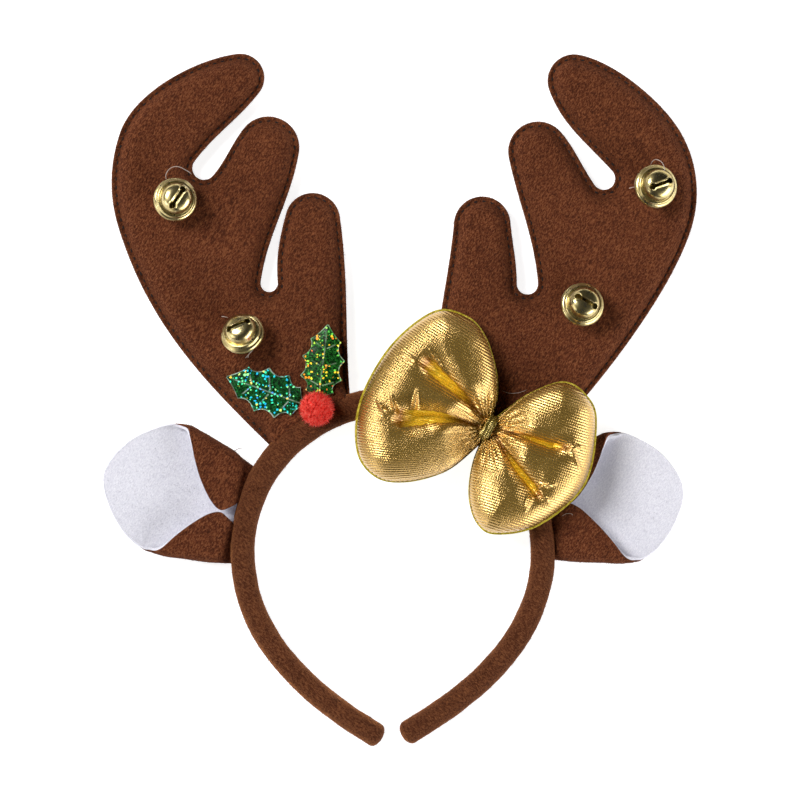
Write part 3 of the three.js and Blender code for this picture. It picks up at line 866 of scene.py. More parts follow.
@dataclass(frozen=True)
class Nap:
    """Loose fibres that stand out of felt or wool, drawn thicker than real ones so that they show.

    Attributes:
        length: the shortest and the longest.
        thick: the radius of a fibre at its root.
        lift: the least and the greatest angle to the cloth.
    """

    length: tuple[float, float] = (0.8, 2.0)
    thick: float = 0.055
    lift: tuple[float, float] = (5.0, 35.0)

    def grow(self, bm: BMesh, count: int, seed: int, proud: float = 0.0) -> BMesh:
        """Scatters fibres evenly over a mesh.

        Args:
            bm: the mesh that they grow on, which is kept.
            count: how many there are.
            seed: sets where they are.
            proud: how far outside the mesh the cloth's own face is.

        Returns:
            The fibres, each a slim cone, none of them in the table.
        """
        chance = random.Random(seed)
        faces = list(bm.faces)
        chosen = chance.choices(faces, weights=[face.calc_area() for face in faces], k=count)

        def make(part: BMesh, i: int) -> None:
            """Adds one fibre, unless it would be in the table.

            Args:
                part: the mesh that gets it.
                i: its number.
            """
            face = chosen[i]
            a, b, c = (face.verts[k].co for k in (0, 1, 2))
            if len(face.verts) == 4 and chance.random() < 0.5:
                a, b, c = (face.verts[k].co for k in (0, 2, 3))
            s, t = sorted((chance.random(), chance.random()))
            root = a * s + b * (t - s) + c * (1 - t)
            normal = face.normal
            flat = normal.orthogonal().normalized()
            flat.rotate(Matrix.Rotation(chance.uniform(0, 2 * math.pi), 3, normal))
            rise = math.radians(chance.uniform(*self.lift))
            ahead = flat * math.cos(rise) + normal * math.sin(rise)
            length = chance.uniform(*self.length)
            root = root + normal * proud
            if min(root.z, (root + ahead * length).z) < self.thick:
                return
            middle = root + ahead * (length / 2)
            turn = Z.rotation_difference(ahead).to_matrix().to_4x4()
            bmesh.ops.create_cone(
                part, cap_ends=True, segments=3, radius1=self.thick, radius2=0.0, depth=length,
                matrix=Matrix.Translation(middle) @ turn,
            )

        return many(count, make)


# The band


@dataclass(frozen=True)
class Leg:
    """One end of the band, from the crown's half circle to its tip.

    Attributes:
        side: -1 on the left and 1 on the right.
        tip_x: how far the tip is from the band's middle.
        drop: how far the tip is below the crown's middle.
    """

    side: int
    tip_x: float
    drop: float


@dataclass(frozen=True)
class Headband:
    """The arch: a padded strip wrapped in felt."""

    centre_x: float = -3.3
    crown_y: float = -68.4
    crown_radius: float = 67.7
    legs: tuple[Leg, Leg] = (Leg(-1, 4.8, 84.2), Leg(1, 4.2, 83.2))
    tip_slope: float = 30.0
    handle_top: float = 36.0
    handle_tip: float = 43.0
    depth: float = 13.0
    crown_width: float = 12.6
    leg_width: float = 10.9
    squareness: float = 2.3
    tip_round: float = 3.4
    lump: float = 0.22
    small_lump: float = 0.12
    sides: int = 44
    steps: int = 230
    tip_steps: int = 6
    fibres: int = 5200

    def leg(self, leg: Leg) -> list[Vector]:
        """Runs one leg's curve.

        Args:
            leg: the leg.

        Returns:
            The points, from the crown to the tip.
        """
        top = Vector((self.centre_x + leg.side * self.crown_radius, self.crown_y, 0.0))
        tip = Vector((self.centre_x + leg.side * leg.tip_x, self.crown_y - leg.drop, 0.0))
        slope = polar(self.tip_slope, self.handle_tip)
        towards = tip + Vector((leg.side * slope.x, slope.y, 0.0))
        return interpolate_bezier(top, top - Vector((0.0, self.handle_top, 0.0)), towards, tip, 60)

    def path(self) -> Line:
        """Runs the band's middle line.

        Returns:
            The line, from the left tip to the right.
        """
        middle = Vector((self.centre_x, self.crown_y, 0.0))
        crown = [middle + polar(angle, self.crown_radius) for angle in range(178, 0, -2)]
        return Line([*reversed(self.leg(self.legs[0])), *crown, *self.leg(self.legs[1])])

    def stations(self, line: Line) -> list[float]:
        """Spaces the band's sections, closer together round its tips.

        Args:
            line: the band's middle line.

        Returns:
            How far along the line each section is.
        """
        quarter = math.pi / 2 / self.tip_steps
        tip = [self.tip_round * (1 - math.cos(quarter * k)) for k in range(self.tip_steps)]
        first, last = self.tip_round, line.length - self.tip_round
        run = [lerp(first, last, k / self.steps) for k in range(self.steps + 1)]
        return [*tip, *run, *[line.length - step for step in reversed(tip)]]

    def build(self) -> None:
        """Makes the band and its nap."""
        line = self.path()
        stations = self.stations(line)
        power = 2 / self.squareness

        def place(u: float, v: float) -> Vector:
            """Puts a corner of the grid on the band.

            Args:
                u: its share of the way round.
                v: its share of the sections.

            Returns:
                The point.
            """
            distance = stations[round(v * (len(stations) - 1))]
            middle, ahead = line.at(distance)
            crowning = smoothstep(middle.y, self.crown_y, self.crown_y + self.crown_radius)
            part = min(1.0, min(distance, line.length - distance) / self.tip_round)
            swell = math.sqrt(max(0.0, 1 - (1 - part) ** 2))
            turn = 2 * math.pi * u
            out = math.copysign(abs(math.cos(turn)) ** power, math.cos(turn))
            up = math.copysign(abs(math.sin(turn)) ** power, math.sin(turn))
            lump = self.lump * noise.noise(Vector((distance / 9, out * 1.5, up * 1.5)))
            lump += self.small_lump * noise.noise(Vector((distance / 3, out * 4 + 9, up * 4)))
            # Underneath it is even, as it lies on the table
            lump *= smoothstep(up, -0.95, -0.4)
            width = lerp(self.leg_width, self.crown_width, crowning) / 2 + lump
            thick = self.depth / 2 + lump * 0.7
            side = Vector((-ahead.y, ahead.x, 0.0))
            return middle + side * (out * width * swell) + Z * (self.depth / 2 + up * thick * swell)

        bm = mapped_grid(self.sides, len(stations) - 1, place)
        fuzz = Nap().grow(bm, self.fibres, seed=3)
        made = piece("headband_felt", bm, WRAPPED, Slot.BROWN_FELT, ["headband"])
        piece("headband_fibres", fuzz, WRAPPED, Slot.BROWN_FELT)


# The antlers


@dataclass(frozen=True)
class Arc:
    """An arc of an outline, and how far its curve to the next arc reaches.

    Attributes:
        x: the middle of the arc, from side to side.
        y: the middle of the arc, from the tips of the band to the tips of the antlers.
        radius: its radius.
        start: the angle that it starts at.
        end: the angle that it ends at.
        handle: the reach of the curve, as a share of the gap to the next arc.
    """

    x: float
    y: float
    radius: float
    start: float
    end: float
    handle: float = 0.37

    def at(self, angle: float) -> Vector:
        """Gives the arc's point at an angle."""
        return Vector((self.x, self.y, 0.0)) + polar(angle, self.radius)

    def ahead(self, angle: float) -> Vector:
        """Gives the arc's direction at an angle."""
        return polar(angle + math.copysign(90.0, self.end - self.start))


@dataclass(frozen=True)
class Level:
    """One ring of an antler's skin: how far inside the outline it is, and how high."""

    inset: float
    height: float


@dataclass(frozen=True)
class Antler:
    """A stuffed antler: two layers of felt, topstitched round the edge."""

    side: str
    mirror: int
    arcs: tuple[Arc, ...]
    seed: int
    band: Headband = field(default_factory=Headband)
    levels: tuple[Level, ...] = (
        # The back, from its flat middle to the stitches and the edge
        Level(9.0, 0.0), Level(6.5, 0.02), Level(4.8, 0.3), Level(3.6, 0.9), Level(2.7, 1.9),
        Level(2.1, 2.9), Level(1.7, 3.25), Level(1.0, 3.4), Level(0.35, 3.45), Level(0.06, 3.6),
        # The two cut edges, with a groove between them
        Level(0.0, 3.9), Level(0.05, 4.5), Level(0.3, 4.8), Level(0.05, 5.1), Level(0.0, 5.8),
        # The front, over the edge, through the stitches' groove and up the stuffed middle
        Level(0.06, 6.15), Level(0.35, 6.4), Level(0.95, 6.5), Level(1.65, 6.3), Level(2.15, 6.0),
        Level(2.6, 6.4), Level(3.0, 7.2), Level(3.8, 8.5), Level(4.9, 9.7), Level(6.2, 10.6),
        Level(7.6, 11.15), Level(9.0, 11.45),
    )
    root_inset: float = 0.1
    root_blend: float = 14.0
    spacing: float = 1.0
    back_spacing: float = 6.0
    front_spacing: float = 3.0
    lump: float = 0.55
    small_lump: float = 0.22
    lumps_from: float = 6.2
    lumps_to: float = 11.4
    stitch: tuple[float, float, float] = (1.0, 0.48, 0.34)
    stitch_inset: float = 2.12
    stitch_pitch: float = 3.7
    stitch_back: float = 2.75
    stitch_front: float = 6.08
    fibres: int = 9000

    def outline(self) -> list[Vector]:
        """Runs the outline as the left antler's.

        Returns:
            The points, anticlockwise.
        """
        points: list[Vector] = []
        for arc, after in zip(self.arcs, [*self.arcs[1:], self.arcs[0]]):
            count = max(2, round(abs(arc.end - arc.start) / 180 * math.pi * arc.radius / self.spacing))
            points += [arc.at(lerp(arc.start, arc.end, k / count)) for k in range(count)]
            begin, finish = arc.at(arc.end), after.at(after.start)
            reach = (finish - begin).length * arc.handle
            count = max(2, round((finish - begin).length / self.spacing))
            leave, arrive = arc.ahead(arc.end) * reach, after.ahead(after.start) * reach
            points += interpolate_bezier(begin, begin + leave, finish - arrive, finish, count + 1)[:-1]
        return points

    def free(self, point: Vector) -> float:
        """Tells how free of the band a point of the outline is, from 0 at its root to 1."""
        crown = Vector((self.mirror * self.band.centre_x, self.band.crown_y, 0.0))
        return smoothstep((point - crown).length - self.band.crown_radius, 0.0, self.root_blend)

    def placed(self, point: Vector, height: float) -> Vector:
        """Puts a point of the outline in its place on this side."""
        return Vector((self.mirror * point.x, point.y, height))

    def drawn(self, inset: float) -> list[Vector]:
        """Draws the outline in, less so at the root.

        Args:
            inset: how far.

        Returns:
            The points, in the outline's order.
        """
        outline = self.outline()
        return [
            point + way * (inset * lerp(self.root_inset, 1.0, self.free(point)))
            for point, way in zip(outline, inward(outline))
        ]

    def skin(self) -> BMesh:
        """Makes the closed felt skin.

        Returns:
            The mesh.
        """
        bm = bmesh.new()
        loop: list[BMVert] = []
        for level in self.levels:
            points = [self.placed(point, level.height) for point in self.drawn(level.inset)]
            if loop:
                loop = extend(bm, loop, points)
            else:
                loop = start_loop(bm, points)
                fill_even(bm, loop, self.back_spacing)
        fill_even(bm, loop, self.front_spacing)
        bmesh.ops.recalc_face_normals(bm, faces=bm.faces)
        for vert in bm.verts:
            front = smoothstep(vert.co.z, self.lumps_from, self.lumps_to)
            spot = Vector((vert.co.x, vert.co.y, 4.0 * self.seed))
            lump = self.lump * noise.noise(spot / 26) + self.small_lump * noise.noise(spot / 8)
            vert.co.z += front * lump
        settle(bm)
        return bm

    def stitches(self) -> BMesh:
        """Makes the topstitching on both faces.

        Returns:
            The stitches, each a slim grain.
        """
        inset = self.drawn(self.stitch_inset)
        line = Line([*inset, inset[0]])
        count = int(line.length / self.stitch_pitch)

        def make(part: BMesh, i: int) -> None:
            """Adds one stitch, unless it is in the root.

            Args:
                part: the mesh that gets it.
                i: its number, odd on the front.
            """
            middle, ahead = line.at((i // 2 + 0.5) * self.stitch_pitch)
            height = self.stitch_front if i % 2 else self.stitch_back
            if self.free(middle) < 0.5:
                return
            turn = math.atan2(ahead.y, self.mirror * ahead.x)
            place = Matrix.Translation(self.placed(middle, height)) @ Matrix.Rotation(turn, 4, "Z")
            bmesh.ops.create_uvsphere(
                part, u_segments=6, v_segments=5, radius=1.0,
                matrix=place @ Matrix.Diagonal((*self.stitch, 1.0)),
            )

        grains = many(2 * count, make)
        settle(grains)
        return grains

    def build(self) -> None:
        """Makes the antler, its nap and its stitches."""
        name = f"antler_{self.side}"
        bm = self.skin()
        fuzz = Nap().grow(bm, self.fibres, seed=self.seed)
        made = piece(f"{name}_felt", bm, BROWN, Slot.BROWN_FELT, [name])
        piece(f"{name}_fibres", fuzz, BROWN, Slot.BROWN_FELT)
        piece(f"{name}_stitches", self.stitches(), DARK_THREAD, Slot.BROWN_FELT)


ANTLERS = (
    Antler("left", 1, (
        Arc(-39.4, 81.0, 12.4, 8, 165),
        Arc(-59.0, 52.6, 3.9, 5, -188),
        Arc(-59.4, 113.9, 14.0, -10, 142),
        Arc(-88.4, 104.6, 5.3, -40, -217),
        Arc(-72.0, 145.4, 10.8, -38, 97, 0.3),
        Arc(-62.6, 98.1, 67.5, 160, 197),
        Arc(-55.1, -22.0, 1.4, 226, 318),
        Arc(-23.8, -0.2, 1.4, 286, 365),
    ), seed=11),
    Antler("right", -1, (
        Arc(-37.1, 79.0, 12.8, 5, 175),
        Arc(-57.5, 52.4, 4.8, 0, -185),
        Arc(-62.3, 112.1, 13.5, -12, 140),
        Arc(-92.0, 99.9, 5.1, -35, -222),
        Arc(-78.5, 144.0, 11.9, -20, 100, 0.28),
        Arc(-79.9, 93.6, 54.0, 150, 195, 0.25),
        Arc(-53.5, -28.2, 1.4, 229, 325),
        Arc(-17.9, -1.3, 1.4, 287, 355),
    ), seed=12),
)


# The ears


@dataclass(frozen=True)
class EarRow:
    """A section across an ear.

    Attributes:
        along: how far out from the band it is.
        upper: from the ear's axis to the upper fold.
        lower: from the ear's axis to the lower fold.
        radius: the radius of both folds.
        up_turn: the angle that the upper fold turns by.
        up_tail: the length of the upper flap.
        low_turn: the angle that the lower fold turns by.
        low_tail: the length of the lower flap.
    """

    along: float
    upper: float
    lower: float
    radius: float
    up_turn: float
    up_tail: float
    low_turn: float
    low_tail: float


EAR_ROWS = (
    EarRow(-6.3, 20.3, 22.5, 1.6, 172, 10.4, 172, 10.4),
    EarRow(-1.0, 22.6, 23.7, 2.3, 174, 14.0, 174, 14.0),
    EarRow(3.0, 24.4, 24.4, 4.0, 176, 17.8, 176, 16.0),
    EarRow(7.2, 26.8, 25.1, 4.4, 177, 22.0, 177, 18.0),
    EarRow(12.6, 28.6, 25.6, 4.4, 177, 20.2, 177, 16.0),
    EarRow(19.4, 30.9, 26.1, 4.2, 174, 14.0, 174, 10.4),
    EarRow(23.9, 32.2, 26.6, 3.9, 170, 7.6, 170, 6.2),
    EarRow(27.0, 33.2, 26.8, 3.6, 160, 2.4, 160, 3.0),
    EarRow(29.7, 33.6, 26.8, 3.4, 112, 0.8, 140, 0.8),
    EarRow(34.0, 33.5, 26.7, 3.4, 52, 0.6, 76, 0.6),
    EarRow(38.0, 32.3, 26.2, 5.0, 24, 0.6, 40, 0.6),
    EarRow(46.0, 27.4, 21.7, 8.0, 12, 0.6, 18, 0.6),
    EarRow(53.6, 21.0, 14.0, 10.0, 8, 0.6, 8, 0.6),
    EarRow(59.4, 12.4, 5.4, 10.0, 8, 0.6, 8, 0.6),
    EarRow(61.9, 5.4, -1.4, 10.0, 4, 0.6, 4, 0.6),
)


@dataclass(frozen=True)
class EarLayer:
    """One layer of an ear.

    Attributes:
        part: its name.
        offset: how far inside the middle of the two layers it lies.
        grow: how much larger than its pattern it is cut at the tip.
        finish: its felt.
        slot: the record's slot for it.
    """

    part: str
    offset: float
    grow: float
    finish: Finish
    slot: Slot


EAR_LAYERS = (
    EarLayer("outer", -0.75, -0.45, BROWN, Slot.BROWN_FELT),
    EarLayer("lining", 0.75, 0.2, WHITE, Slot.WHITE_FELT),
)


@dataclass(frozen=True)
class Ear:
    """An ear: brown felt lined with white, the sides of its base folded forward into flaps.

    Attributes:
        side: left or right.
        x: where its axis meets the band, from side to side.
        y: where its axis meets the band, from the tips of the band to the tips of the antlers.
        axis: the direction of its axis.
        across: 1 where its upper side is to the left of the axis, and -1 where it is to the right.
        up_flap: the upper flap's length, as a share of that in EAR_ROWS.
        low_flap: the lower flap's.
        low_root: the width of the lower half at the root, as a share.
        tip: the length beyond the corner, as a share.
        seed: sets its waves and its nap.
        sheet: the thickness of a layer.
        gap: the gap between the layers.
        edge: the bevel of the cut edges.
        corner: how far out the ear's corners are.
        tip_from: where the layers start to differ in size.
        tip_to: where they differ in full.
        wave: the height of the felt's waves.
        flat_part: the share of a half that is flat, up to the fold.
        bend_part: the share of the fold.
        flap_from: where the flap starts.
        flap_part: the share of the flap.
        steps: sections for each of EAR_ROWS.
        columns: faces across a layer.
        fibres: loose fibres on a layer.
    """

    side: str
    x: float
    y: float
    axis: float
    across: int
    up_flap: float = 1.0
    low_flap: float = 1.0
    low_root: float = 1.0
    tip: float = 1.0
    seed: int = 21
    sheet: float = 1.2
    gap: float = 0.3
    edge: float = 0.3
    corner: float = 34.0
    tip_from: float = 26.0
    tip_to: float = 36.0
    wave: float = 0.45
    flat_part: float = 0.36
    bend_part: float = 0.34
    flap_from: float = 0.7
    flap_part: float = 0.3
    steps: int = 6
    columns: int = 84
    fibres: int = 2600

    def rows(self) -> list[EarRow]:
        """Fits the sections to this ear, with smooth ones between them.

        Returns:
            The sections, from the root to the tip.
        """
        fitted = []
        for row in EAR_ROWS:
            inner = min(row.along, self.corner)
            fitted.append(EarRow(
                inner + (row.along - inner) * self.tip,
                row.upper,
                row.lower * lerp(self.low_root, 1.0, inner / self.corner),
                row.radius,
                row.up_turn,
                row.up_tail * (self.up_flap if row.up_tail > 1 else 1),
                row.low_turn,
                row.low_tail * (self.low_flap if row.low_tail > 1 else 1),
            ))
        knots = [Vector(astuple(row)) for row in fitted]
        return [EarRow(*values) for values in spline(knots, self.steps)]

    def half(
        self,
        reach: float,
        row: EarRow,
        turn: float,
        tail: float,
        share: float,
    ) -> tuple[float, float, float]:
        """Follows one half of a section from its middle to its free edge.

        Args:
            reach: from the middle to the outside of the fold.
            row: the section.
            turn: the fold's angle.
            tail: the flap's length.
            share: how far along the half, from 0 to 1.

        Returns:
            How far out and up the felt is, and the angle that it has turned by.
        """
        bend = math.radians(turn)
        used = row.radius + (self.gap / 2 + self.sheet)
        if turn < 90:
            used = used * math.sin(bend) + tail * math.cos(bend)
        straight = reach - used
        if share <= self.flat_part:
            return straight * share / self.flat_part, 0.0, 0.0
        angle = bend * min(1.0, (share - self.flat_part) / self.bend_part)
        run = tail * max(0.0, share - self.flap_from) / self.flap_part
        out = straight + row.radius * math.sin(angle) + run * math.cos(angle)
        return out, row.radius * (1 - math.cos(angle)) + run * math.sin(angle), angle

    def felt(self, layer: EarLayer) -> BMesh:
        """Makes one layer of felt as an open sheet.

        Args:
            layer: the layer.

        Returns:
            The sheet.
        """
        rows = self.rows()
        ahead = polar(self.axis)
        side = Vector((-ahead.y, ahead.x, 0.0)) * self.across
        floor = 1.5 * self.gap + self.sheet

        def place(u: float, v: float) -> Vector:
            """Puts a corner of the grid on the felt.

            Args:
                u: its share of the way across.
                v: its share of the sections.

            Returns:
                The point.
            """
            row = rows[round(v * (len(rows) - 1))]
            reach = (row.upper + row.lower) / 2
            sign = 1 if u >= 0.5 else -1
            turn, tail = (row.up_turn, row.up_tail) if u >= 0.5 else (row.low_turn, row.low_tail)
            out, up, angle = self.half(reach, row, turn, tail, abs(2 * u - 1))
            out = (row.upper - row.lower) / 2 + sign * (out - math.sin(angle) * layer.offset)
            up = floor + up + math.cos(angle) * layer.offset
            beyond = smoothstep(row.along, self.tip_from, self.tip_to) * layer.grow
            out += sign * beyond * abs(2 * u - 1)
            spot = Vector((out / 14, row.along / 14, up / 6 + self.seed))
            up += self.wave * noise.noise(spot) * smoothstep(up, 0.9, 6.0)
            return Vector((self.x, self.y, 0.0)) + ahead * (row.along + beyond) + side * out + Z * up

        return mapped_grid(self.columns, len(rows) - 1, place)

    def dress(self, layer: EarLayer) -> None:
        """Makes one layer of the ear and its nap.

        Args:
            layer: the layer.
        """
        name = f"ear_{self.side}_{layer.part}"
        bm = self.felt(layer)
        top = max(bm.faces, key=lambda face: abs(face.normal.z) * face.calc_area())
        inner_up = top.normal.z > 0
        # The nap grows on the side away from the other layer
        if (layer.part == "outer") == inner_up:
            bmesh.ops.reverse_faces(bm, faces=bm.faces)
        fuzz = Nap().grow(bm, self.fibres, seed=self.seed + len(layer.part), proud=self.sheet / 2)
        area = sum(face.calc_area() for face in bm.faces) * MM * MM
        made = piece(f"{name}_felt", bm, layer.finish, layer.slot, [name])
        thick = made.modifiers.new("thickness", "SOLIDIFY")
        thick.thickness = self.sheet * MM
        thick.offset = 0.0
        edge = made.modifiers.new("edge", "BEVEL")
        edge.width = self.edge * MM
        edge.segments = 2
        edge.limit_method = "ANGLE"
        piece(f"{name}_fibres", fuzz, layer.finish, layer.slot)

    def build(self) -> None:
        """Makes the ear's two layers."""
        for layer in EAR_LAYERS:
            self.dress(layer)


EARS = (
    Ear("left", -73.8, -50.4, 167.3, -1),
    Ear("right", 68.9, -51.8, 8.0, 1, up_flap=0.8, low_flap=1.2, low_root=0.87, tip=0.92, seed=31),
)


# The bow


@dataclass(frozen=True)
class Valley:
    """A fold that runs out from the tie: two rolls of cloth that meet over a floor that widens.

    Attributes:
        points: its way over the lobe.
        depth: how deep it is where the lobe has its full height.
        near: the width of a roll at the tie.
        far: the width of a roll at the end.
        floor: half the width of the floor at the end.
        fade: the shares of its length between which it ends.
        ragged: how far the edge of the fold's painted shade and amber wanders.
        ragged_size: the size of those wanderings.
        soft: the width of that edge.
    """

    points: tuple[tuple[float, float], ...]
    depth: float
    near: float
    far: float
    floor: float
    fade: tuple[float, float] = (0.7, 1.06)
    ragged: float = 0.9
    ragged_size: float = 2.4
    soft: float = 0.7

    @cached_property
    def line(self) -> Line:
        """Runs along the bottom of the fold."""
        return Line([Vector((*point, 0.0)) for point in self.points])

    def at(self, point: Vector, seed: int) -> tuple[float, float]:
        """Works out what the fold does to the cloth at a place.

        Args:
            point: the place on the lobe.
            seed: sets the edge of the fold's painted shade and amber.

        Returns:
            How far the cloth drops where the lobe has its full height, and its share of the fold's painted
            shade and amber.
        """
        away, share = self.line.off(point)
        ending = 1 - smoothstep(share, *self.fade)
        wide = lerp(self.near, self.far, share)
        rolled = min(1.0, max(0.0, away - self.floor * share * share) / wide)
        roll = 0.5 * (1 - math.sqrt(1 - (1 - rolled) ** 2)) + 0.5 * (1 - rolled) ** 2
        size = self.ragged_size
        ragged = self.ragged * noise.noise(Vector((point.x / size, point.y / size, seed + 2)))
        floor = 0.2 + (2.0 * self.floor + ragged) * share
        amber = 1 - smoothstep(away, floor, floor + self.soft)
        # The painted shade and amber are weaker near the tie
        amber *= lerp(0.5, 1.0, smoothstep(share, 0.15, 0.5))
        return self.depth * roll * ending, amber * ending


@dataclass(frozen=True)
class Pucker:
    """A short ridge where the gathered cloth stands up, pointed at its start."""

    start: tuple[float, float]
    end: tuple[float, float]
    height: float
    width: float

    @cached_property
    def line(self) -> Line:
        """Runs along the top of the ridge."""
        return Line([Vector((*self.start, 0.0)), Vector((*self.end, 0.0))])

    def rise(self, point: Vector) -> float:
        """Works out how far the ridge lifts the cloth.

        Args:
            point: a place on the lobe.

        Returns:
            The rise where the lobe has its full height.
        """
        away, share = self.line.off(point)
        wide = self.width * (0.3 + 0.7 * share)
        swell = math.sin(math.pi * (0.06 + 0.8 * share ** 1.5))
        return self.height * math.exp(-((away / wide) ** 2)) * swell


@dataclass(frozen=True)
class Lobe:
    """One half of the bow.

    Attributes:
        outline: angles and radii round the tie.
        valleys: its folds.
        puckers: its ridges.
        rib_angle: the direction of the knit's ribs.
        fan: the reach of the ribs that are drawn together to the tie, or 0 where none are.
    """

    outline: tuple[tuple[float, float], ...]
    valleys: tuple[Valley, ...]
    puckers: tuple[Pucker, ...]
    rib_angle: float
    fan: float

    def edge(self, grow: float = 0.0) -> Line:
        """Runs the outline round from the tie to the tie."""
        return Line(spline([polar(angle, radius + grow) for angle, radius in self.outline], 14))

    def cloth(self, point: Vector) -> tuple[float, float]:
        """Finds a place on the cloth.

        The ribs run side by side on one half and are drawn together to the tie on the other.

        Args:
            point: the place on the lobe.

        Returns:
            How far it is along the ribs and across them.
        """
        turn = math.atan2(point.y, point.x) - math.radians(self.rib_angle)
        turn = (turn + math.pi) % (2 * math.pi) - math.pi
        across = point.length * math.sin(turn)
        if self.fan and turn > 0:
            across = (self.fan + point.length) / 2 * turn
        return point.length * math.cos(turn), across


@dataclass(frozen=True)
class Bow:
    """A gathered bow of gold knit on a felt backing, drawn in by a wrapped tie.

    Attributes:
        x: the middle of the tie, from side to side.
        y: the middle of the tie, from the tips of the band to the tips of the antlers.
        axis: the direction across the tie, from lobe to lobe.
        back: the height of the back of the bow.
        backing: the thickness of the felt.
        edge: how far the felt shows round the gold.
        gap: the gap between the felt and the gold.
        rim: the height of the gold's edge.
        crown: the height of the stuffed middle of a lobe over that.
        shoulder: how far inside the edge it has that height.
        waist: the share of that height at the tie.
        gather: how far from the tie it has that height.
        pleat: the height of the small pleats at the tie.
        pleats: how many of them go round.
        lump: the height of the lumps in the stuffing.
        grid: faces round a lobe and from its middle to its edge.
        edge_steps: points that stand for a lobe's edge.
        fill: the spacing of the faces of the felt.
        fibres: loose fibres on the felt.
        tie_z: the height of the middle of the tie.
        tie_side: half the tie's width.
        tie_rise: half the tie's height.
        tie_half: half the length of lobe that it covers.
        tie_proud: how far the wrap stands out.
        tie_thick: half the wrap's thickness.
        tie_crease: the depth of its creases.
        tie_crumple: the depth of its crumples.
        tie_grid: faces round the tie and round the wrap's section.
        lobes: the two halves.
    """

    x: float = 39.6
    y: float = -12.6
    axis: float = -31.0
    back: float = 15.3
    backing: float = 1.2
    edge: float = 0.9
    gap: float = 0.3
    rim: float = 1.0
    crown: float = 12.0
    shoulder: float = 19.0
    waist: float = 0.3
    gather: float = 22.0
    pleat: float = 0.5
    pleats: int = 26
    lump: float = 0.35
    grid: tuple[int, int] = (300, 120)
    edge_steps: int = 400
    fill: float = 4.0
    fibres: int = 1500
    tie_z: float = 18.0
    tie_side: float = 5.1
    tie_rise: float = 3.5
    tie_half: float = 2.3
    tie_proud: float = 0.55
    tie_thick: float = 0.62
    tie_crease: float = 0.32
    tie_crumple: float = 0.3
    tie_grid: tuple[int, int] = (72, 30)
    lobes: tuple[Lobe, ...] = (
        Lobe(
            outline=(
                (64, 4.6), (74, 16), (83, 28), (92, 42), (101, 51.5), (115, 58), (140, 57.5),
                (168, 59), (190, 60), (204, 55), (214, 43.5), (226, 27), (238, 11), (250, 4.6),
            ),
            valleys=(
                Valley(
                    ((-2.0, 4.4), (-11.1, 14.2), (-18.7, 20.9), (-24.8, 26.6), (-31.5, 32.0)),
                    depth=8.0, near=3.2, far=13.5, floor=1.5,
                ),
                Valley(
                    ((-4.3, 0.9), (-14.9, 4.0), (-24.8, 5.1), (-33.9, 4.4), (-44.1, 5.1)),
                    depth=8.0, near=3.2, far=13.5, floor=2.2,
                ),
            ),
            puckers=(
                Pucker((-43.8, 15.0), (-41.5, 7.5), height=3.2, width=1.2),
                Pucker((-32.0, 17.4), (-33.5, 7.0), height=3.2, width=1.2),
                Pucker((-50.1, 12.5), (-46.5, 7.2), height=2.4, width=1.2),
                Pucker((-26.3, 35.5), (-19.0, 24.0), height=2.0, width=1.1),
                Pucker((-40.3, 35.4), (-28.9, 26.3), height=1.4, width=1.5),
                Pucker((-45.0, 1.0), (-30.0, 0.5), height=1.0, width=1.6),
            ),
            rib_angle=149.0,
            fan=55.0,
        ),
        Lobe(
            outline=(
                (-124, 4.6), (-114, 18), (-106, 32), (-97, 43), (-86, 48), (-62, 49.5), (-30, 50.5),
                (4, 49), (20, 46.2), (32, 39.5), (40, 24.5), (46, 12), (57, 4.6),
            ),
            valleys=(
                Valley(
                    ((5.6, -0.6), (15.5, -3.6), (26.9, -7.4), (38.0, -9.2)),
                    depth=7.0, near=2.8, far=11.0, floor=0.45,
                ),
                Valley(
                    ((3.3, -3.2), (7.9, -10.8), (13.2, -18.5), (18.5, -24.9), (24.4, -33.3)),
                    depth=7.0, near=2.8, far=11.0, floor=0.8,
                ),
            ),
            puckers=(
                Pucker((44.5, -8.0), (35.8, -9.3), height=1.2, width=1.0),
                Pucker((41.4, -18.5), (37.6, -10.8), height=1.5, width=1.2),
                Pucker((30.0, -25.0), (21.6, -26.6), height=1.6, width=1.2),
                Pucker((16.3, -37.5), (18.8, -31.1), height=1.5, width=1.2),
                Pucker((29.0, -36.0), (23.0, -28.0), height=1.0, width=1.0),
            ),
            rib_angle=-18.0,
            fan=0.0,
        ),
    )

    def height(self, lobe: Lobe, point: Vector, inset: float, seed: int) -> tuple[float, float]:
        """Works out the height of the gold at a place.

        Args:
            lobe: the lobe.
            point: the place, from the tie.
            inset: how far inside the lobe's edge it is.
            seed: sets the creases.

        Returns:
            The height over the back of the gold, and its share of a fold's painted shade and amber.
        """
        reach = point.length
        rise = min(1.0, inset / self.shoulder)
        dome = math.sqrt(1 - (1 - rise) ** 2)
        dome *= lerp(self.waist, 1.0, smoothstep(reach, 3.0, self.gather))
        lift = self.crown * dome
        folded = 0.0
        for valley in lobe.valleys:
            drop, amber = valley.at(point, seed)
            lift -= drop * dome
            folded = max(folded, amber)
        for pucker in lobe.puckers:
            lift += pucker.rise(point) * min(1.0, dome * 1.5)
        angle = math.atan2(point.y, point.x)
        lift += self.pleat * math.sin(self.pleats * angle + seed) * math.exp(-(((reach - 7) / 7) ** 2))
        # Fine creases run out from the tie, deeper in the folds
        streak = noise.noise(Vector((angle * 30, reach / 9, seed)))
        lift += (0.08 + 0.5 * folded) * streak * dome
        lift += self.lump * noise.noise(Vector((point.x / 9, point.y / 9, seed + 5))) * dome
        return max(lift, 0.0) + self.rim, folded

